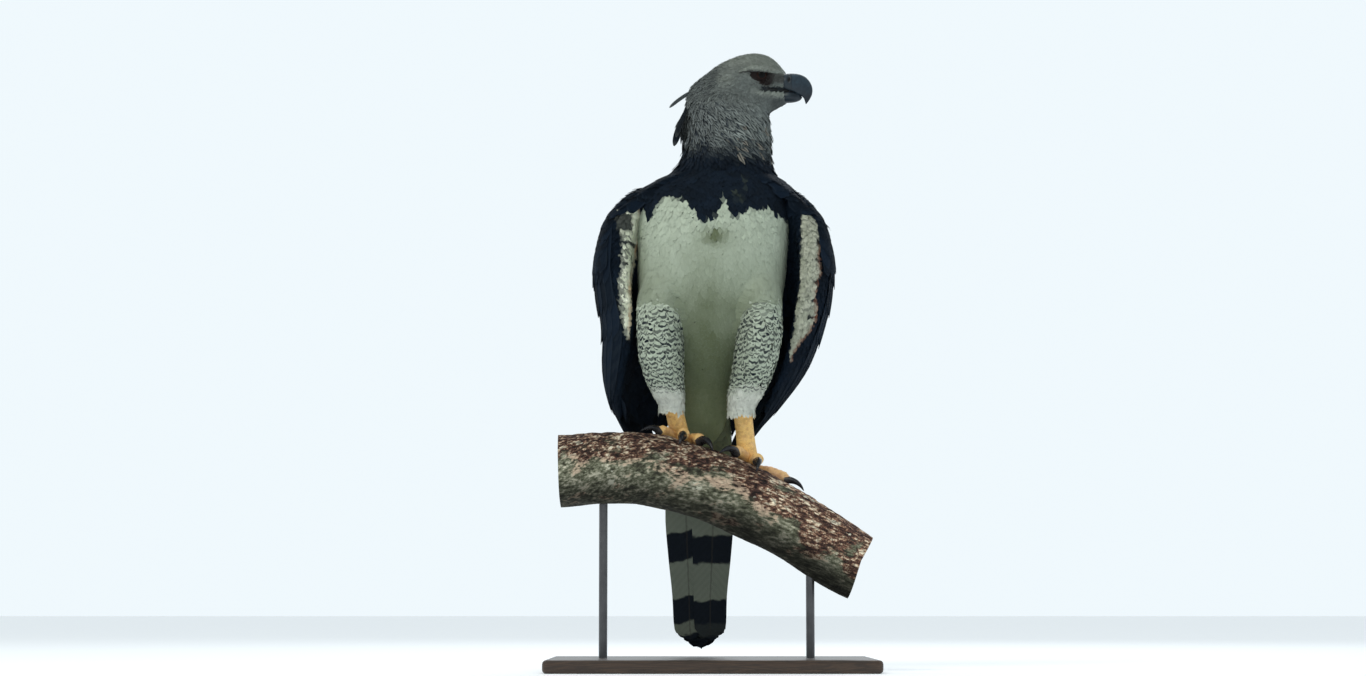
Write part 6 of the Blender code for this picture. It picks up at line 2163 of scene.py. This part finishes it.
def add_shoulder_feathers(side, coat):
    """The feathers of the shoulder, from the mantle out over the wing's top."""
    surface = shoulder(side)
    run, share = rows_on(surface, np.linspace(0.0, 0.72, 10), 0.0085, 0.0, 1.0, 0.25)
    count = len(run)
    size = random.uniform(0.024, 0.044, count), 0.0078
    heights = -0.0036, random.normal(0.0008, 0.0004, count)
    lie = (OUTWARD[side] * 0.9, 0.1, -1.0)
    places = share * 0.4 + 0.55, run * 0.2 + 0.02
    add_dark(coat, surface, (run, share), lie, size, heights, SHOULDER_FREEDOM, (0.15, 0.45), places)


# How far round from the front edge to the outer face the small front coverts reach, in degrees
FRONT_REACH = {"left": 118, "right": 96}


def add_front_coverts(side, coat):
    """Small feathers over the front edge, from the inner face round to the outer one, with the pale strip."""
    surface = wing_nose(side)
    inner, outer = math.radians(-88), math.radians(FRONT_REACH[side])
    place, angle = rows_on(surface, np.linspace(0.02, 0.7, 80), 0.005, inner, outer, 0.3)
    count = len(place)
    length = np.interp(place, (0, 0.3, 0.7), (0.014, 0.0185, 0.021)) * random.uniform(0.85, 1.15, count)
    width = 0.0038
    tip = random.normal(0.0016, 0.0004, count)
    lie = wing_lie(side)
    points = lay(surface, place, angle, lie, length, width, -0.0024, tip, BODY_VANE, *FRONT_FREEDOM)
    # Each vane takes its colour half from its middle and half from each place on it, so that edges are ragged
    shown = 0.55 * points[:, 3, 2][:, None, None] + 0.45 * points
    colours = wing_front_colour(side, shown) * tone(count, 0.06)[:, None, None]
    places = angle / 3.3 * 0.4 + 0.5, place * 0.2 + 0.75
    coat.add(points, colours, (0, 0.06, 0), BODY_VANE, places, sound(points, length, width))


# A tail feather: levels along it, close together over the rounded end, its width at them, and its columns
TAIL_LEVELS = np.concatenate([np.linspace(0, 0.9, 22), (0.925, 0.945, 0.96, 0.972, 0.982, 0.99, 0.996, 1.0)])
TAIL_SHAPE = ((0.0, 0.2, 0.5, 0.92, 0.96, 0.982, 0.996, 1.0), (0.75, 0.9, 1.0, 1.0, 0.96, 0.86, 0.62, 0.35))
TAIL_COLUMNS = np.array((-1.0, -0.6, -0.08, 0.0, 0.08, 0.6, 1.0))
TAIL_VANE = (TAIL_LEVELS, np.interp(TAIL_LEVELS, *TAIL_SHAPE), TAIL_COLUMNS)


def build_tail_feathers():
    """Twelve tail feathers in a closed fan: each layer steps forward by TAIL_LAYER, and the pairs spread out
    from the middle by TAIL_FAN of the tail's half width."""
    coat = Coat()
    levels, widths, columns = TAIL_VANE
    pair = np.repeat(np.arange(TAIL_PAIRS), 2)
    outward = np.tile((-1, 1), TAIL_PAIRS)
    layer = 2 * pair + (outward > 0)
    count, last = 2 * TAIL_PAIRS, 2 * TAIL_PAIRS - 1
    reach = 1.0 - 0.65 * TAIL_STEP_UP * pair
    ends = rise(levels, 0.92, 1.0)[None, :, None]
    wear = random.uniform(-0.012, 0.003, (count, len(levels), len(columns))) * ends
    places = levels[None, :, None] * reach[:, None, None] + wear - 0.014 * columns**2 * ends
    rows = read_table(TAIL, places)
    half = rows[..., 3] * (1 - TAIL_FAN)
    offset = outward[:, None, None] * rows[..., 3] * TAIL_FAN * (pair[:, None, None] + 0.5)
    offset = offset / (TAIL_PAIRS - 0.5)
    x = rows[..., 0] + offset + half * widths[None, :, None] * columns
    ridge = 0.00055 * (abs(columns) < 0.05) + 0.00035 * (1 - columns**2)
    y = rows[..., 1] + TAIL_LAYER * (last / 2 - layer[:, None, None]) + ridge
    points = stacked(x, y, rows[..., 2])[:, :, ::-1]
    shift = 0.5 + 0.6 * random.uniform(-0.1, 0.1, count)
    shift[layer == last] = 0.6
    slant = np.clip(0.25 + random.uniform(-0.2, 0.3, count), 0, 1)
    patch = np.where(layer == last - 1, 0.75, random.uniform(0, 0.15, count))
    coat.add(points, np.full((count, 3), 0.1), (shift, slant, patch), TAIL_VANE, (layer / 13 + 0.04, 0.5))
    put_in(coat.make("tail_feathers", TAIL_LOOK), "tail_grey", "tail")


def build_tail_coverts():
    """The coverts that wrap the roots of the tail feathers, dark behind, and in front olive grey and shaded
    white, partly their own tinge and partly painted shade between the legs.
    """
    wrap = Coat()
    place, turn = rows_on(tail_wrap, np.linspace(-0.02, 0.3, 20), 0.011, -math.pi, math.pi, 0.25)
    place = np.clip(place, 0, 1)
    count = len(place)
    behind = rise(np.sin(turn), 0.1, 0.3)
    length = random.uniform(0.036, 0.05, count)
    lie = (0.0, 0.08, -1.0)
    points = lay(tail_wrap, place, turn, lie, length, 0.0092, -0.005, 0.0012, BODY_VANE, *WRAP_FREEDOM)
    # In front the coverts mix at random between olive grey and shaded white: partly their own tinge, partly
    # painted shade between the legs
    shade = 0.25 + 0.3 * ripple(tail_wrap(place, turn, 0 * place), 0.03, 51)
    pale = mix(OLIVE_GREY * 1.3, SHADED_WHITE, shade)
    colours = mix(pale, mix(BLACK, SLATE, 0.5), behind) * tone(count, 0.06)
    wrap.add(points, colours, (0, 0.05 * (1 - behind), 0), BODY_VANE, (around(turn), place * 2 + 0.1))
    put_in(wrap.make("tail_coverts", LOOKS["white_down"]), "tail_grey", "tail")


PERCH_RINGS, PERCH_SIDES = 260, 176
CUT_WOOD = np.array((0.34, 0.235, 0.14))
# The rings of a cut end: share of its width, and how far in from the bark's edge
CUT_RINGS = ((0.965, 0.0), (0.93, 0.0012), (0.6, 0.0015), (0.3, 0.0012))


def perch_relief(grain, upper, x, turn):
    """Heights over the plain branch: the solid's own bumps away from the feet, flakes and ridges above, and
    shallow cracks below."""
    bumps = np.sin(3 * turn + 19 * x) * np.cos(31 * x + 1.3) + 0.6 * np.sin(5 * turn - 43 * x)
    standing = spot(((turn + math.pi) % (2 * math.pi) - math.pi) / 1.2)
    flakes = ripple(grain, 0.013, 62, 3)
    ridges = abs(ripple(grain, 0.03, 66, 2))
    cracks = -np.clip(0.12 - abs(ripple(grain, 0.034, 63)), 0, 1) * 7
    rough = 0.0009 * flakes + 0.0022 * (ridges - 0.35)
    smooth = 0.0007 * cracks + 0.0003 * flakes
    relief = upper * rough + (1 - upper) * smooth
    return BARK_DEPTH * bumps * (1 - standing) + relief - 0.0004


def cut_ends(rings, grain):
    """The rings of both cut ends, each drawn towards its middle and set in a little, with their grain."""
    ends, end_grain = [], []
    for end, inward in ((0, 1), (-1, -1)):
        middle = rings[end].mean(0)
        for share, depth in CUT_RINGS:
            ring = middle + (rings[end] - middle) * share
            ring[:, 0] += inward * depth
            ends.append(ring)
            end_grain.append(grain[end] * np.array((1.0, share, share)))
    half = len(CUT_RINGS)
    stack = np.concatenate([ends[:half][::-1], rings, ends[half:]])
    return stack, np.concatenate([end_grain[:half][::-1], grain, end_grain[half:]])


def build_perch():
    """The branch: rings with their relief, rough bark on the upper side, painted shade on its underside, and
    cut ends set in a little.
    """
    run_x = np.linspace(PERCH_LINE[0][0], PERCH_LINE[-1][0], PERCH_RINGS)
    x, turn = np.meshgrid(run_x, full_turn(PERCH_SIDES), indexing="ij")
    centre, _, _, radius = perch_frame(run_x)
    run = np.concatenate([[0], np.cumsum(np.linalg.norm(np.diff(centre, axis=0), axis=1))])[:, None]
    # Places for the grain: drawn out along the branch, with a slow twist
    twist = turn + 4.0 * run
    grain = stacked(0.62 * run, radius[:, None] * np.cos(twist), radius[:, None] * np.sin(twist))
    side = np.cos(turn)
    upper = rise(side + 0.35 * ripple(grain, 0.06, 61) + 2.4 * np.maximum(x - 0.02, 0), -0.15, 0.45)
    rings = on_perch(x, turn, perch_relief(grain, upper, x, turn))
    # Painted shade: the bark darkens towards the underside of the branch, and more so under its right part
    below = 0.2 + 0.8 * rise(side, -0.8, 0.05)
    below = below * (1 - 0.55 * rise(x, 0.02, 0.08) * (1 - rise(side, -0.55, 0.1)))
    # The painted shade, with a random tone and lighter towards +x
    shade = below * (1 + 0.18 * ripple(grain, 0.09, 64)) * (1 + 0.45 * rise(x, 0.02, 0.12))
    marks = stacked(upper, upper * (1 - upper) * 4 * (x < 0.1), 0)
    stack, grain = cut_ends(rings, grain)
    points, faces = joined([stack])
    plain = np.zeros((PERCH_SIDES, 3))
    rims = [plain + mix(CUT_WOOD, CUT_WOOD * 0.4, rise(share, 0.9, 0.96)) for share, _ in CUT_RINGS]
    colour = np.concatenate([rims[::-1], shade[..., None] * np.ones(3), rims])
    end_marks = np.zeros((len(CUT_RINGS), PERCH_SIDES, 3)) + UP
    marks = np.concatenate([end_marks, marks, end_marks])
    # The middles of the two ends close the lists, as in shell_points
    colour = np.concatenate([colour.reshape(-1, 3), [CUT_WOOD, CUT_WOOD]])
    marks = np.concatenate([marks.reshape(-1, 3), [UP, UP]])
    grain = shell_points(grain)
    perch = make_piece("perch_bark", points, faces, BARK_LOOK, colour, marks, sharp=60, grain=grain)
    put_in(perch, "bark", "perch_branch")


def dress_stand():
    """The stand keeps its solids and takes its wood and steel."""
    wood, steel = make_wood_look(), make_steel_look()
    for name, look in (("stand_base", wood), ("stand_rod_left", steel), ("stand_rod_right", steel)):
        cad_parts[name].material_slots[0].material = look


def build_stage():
    """A plain pale floor, soft lights and the pale surroundings."""
    bpy.ops.mesh.primitive_plane_add(size=60.0)
    floor = bpy.context.active_object
    floor.name = "studio_floor"
    glow = {"Emission_Color": (0.88, 0.95, 0.98), "Emission_Strength": 0.2}
    floor.data.materials.append(Look("studio_floor", 0.9, Base_Color=(0.9, 0.91, 0.92), **glow).material)
    world = bpy.data.worlds.new("soft_sky")
    bpy.context.scene.world = world
    world.use_nodes = True
    sky = Shading(world.node_tree)
    background = sky.tree.nodes["Background"].inputs
    sky.feed(background["Color"], (0.87, 0.945, 0.985))
    # The surroundings are bright behind the bird and dimmer behind the camera
    ahead = sky.put("SeparateXYZ", {0: sky.put("TexCoord")["Generated"]})[1]
    sky.feed(background["Strength"], sky.span(ahead, -0.25, 0.5, 0.5, 1.0))
    lights = (
        ("key", (-1.5, -2.3, 3.0), 1.2, 46.0, (1.0, 0.98, 0.9)),
        ("fill", (2.4, -2.2, 1.4), 1.8, 7.0, (0.9, 0.97, 1.0)),
        ("rim", (0.6, 2.4, 2.6), 1.4, 24.0, (0.94, 0.97, 1.0)),
    )
    for name, place, size, power, colour in lights:
        lamp = bpy.data.lights.new(name, "AREA")
        lamp.shape = "DISK"
        lamp.size = size
        lamp.energy = power
        lamp.color = colour
        holder = bpy.data.objects.new(name, lamp)
        holder.location = place
        aim = np.array((0.0, 0.0, 0.6)) - np.array(place)
        holder.rotation_mode = "QUATERNION"
        holder.rotation_quaternion = look_along(aim)
        bpy.context.scene.collection.objects.link(holder)
    bpy.context.scene.view_settings.view_transform = "Standard"


def look_along(direction):
    """The turn that points an object's -Z along a direction, with its Y upwards."""
    return Vector(direction).to_track_quat("-Z", "Y")


def build_camera():
    """The camera stands low in front and looks up a little, as the photograph does."""
    middle = np.array(FRAME_MIDDLE)
    away = CAMERA_AWAY * PULL_BACK
    back = np.array((0.0, -math.cos(CAMERA_RISE), -math.sin(CAMERA_RISE)))
    data = bpy.data.cameras.new("camera")
    data.sensor_width = SENSOR_WIDTH
    data.lens = SENSOR_WIDTH * CAMERA_AWAY / FRAME_WIDTH
    data.shift_y = -SHIFT_DOWN
    camera = bpy.data.objects.new("camera", data)
    camera.location = middle + back * away
    camera.rotation_mode = "QUATERNION"
    camera.rotation_quaternion = look_along(-back)
    bpy.context.scene.collection.objects.link(camera)
    bpy.context.scene.camera = camera


def main():
    """Camera and stage, then every piece in turn: the feathers' random draws follow this order."""
    build_camera()
    build_stage()
    dress_stand()
    skin = build_skin()
    flesh = ["head", "neck", "torso", "thigh_left", "thigh_right", "wing_left", "wing_right", "tail"]
    put_in(skin, "white", *flesh)
    build_legs()
    build_claws()
    build_eyes()
    build_lids()
    build_bill()
    build_gape()
    head_coat = Coat()
    build_head_coat(head_coat)
    build_brow_coat(head_coat)
    build_crest(head_coat)
    put_in(head_coat.make("head_feathers", LOOKS["head_down"]), "head_grey", "head")
    coats = build_body_coats()
    finishes = {
        "neck": ("neck_feathers", "head_down", "slate_black", "neck"),
        "bib": ("bib_feathers", "bib_down", "slate_black", "torso"),
        "breast": ("breast_feathers", "white_down", "white", "torso"),
        "mantle": ("mantle_feathers", "bib_down", "slate_black", "torso"),
    }
    for label, (name, look, slot, node) in finishes.items():
        put_in(coats[label].make(name, LOOKS[look]), slot, node)
    build_thigh_coats()
    build_wings()
    build_tail_feathers()
    build_tail_coverts()
    build_perch()


main()
bpy.context.view_layer.update()
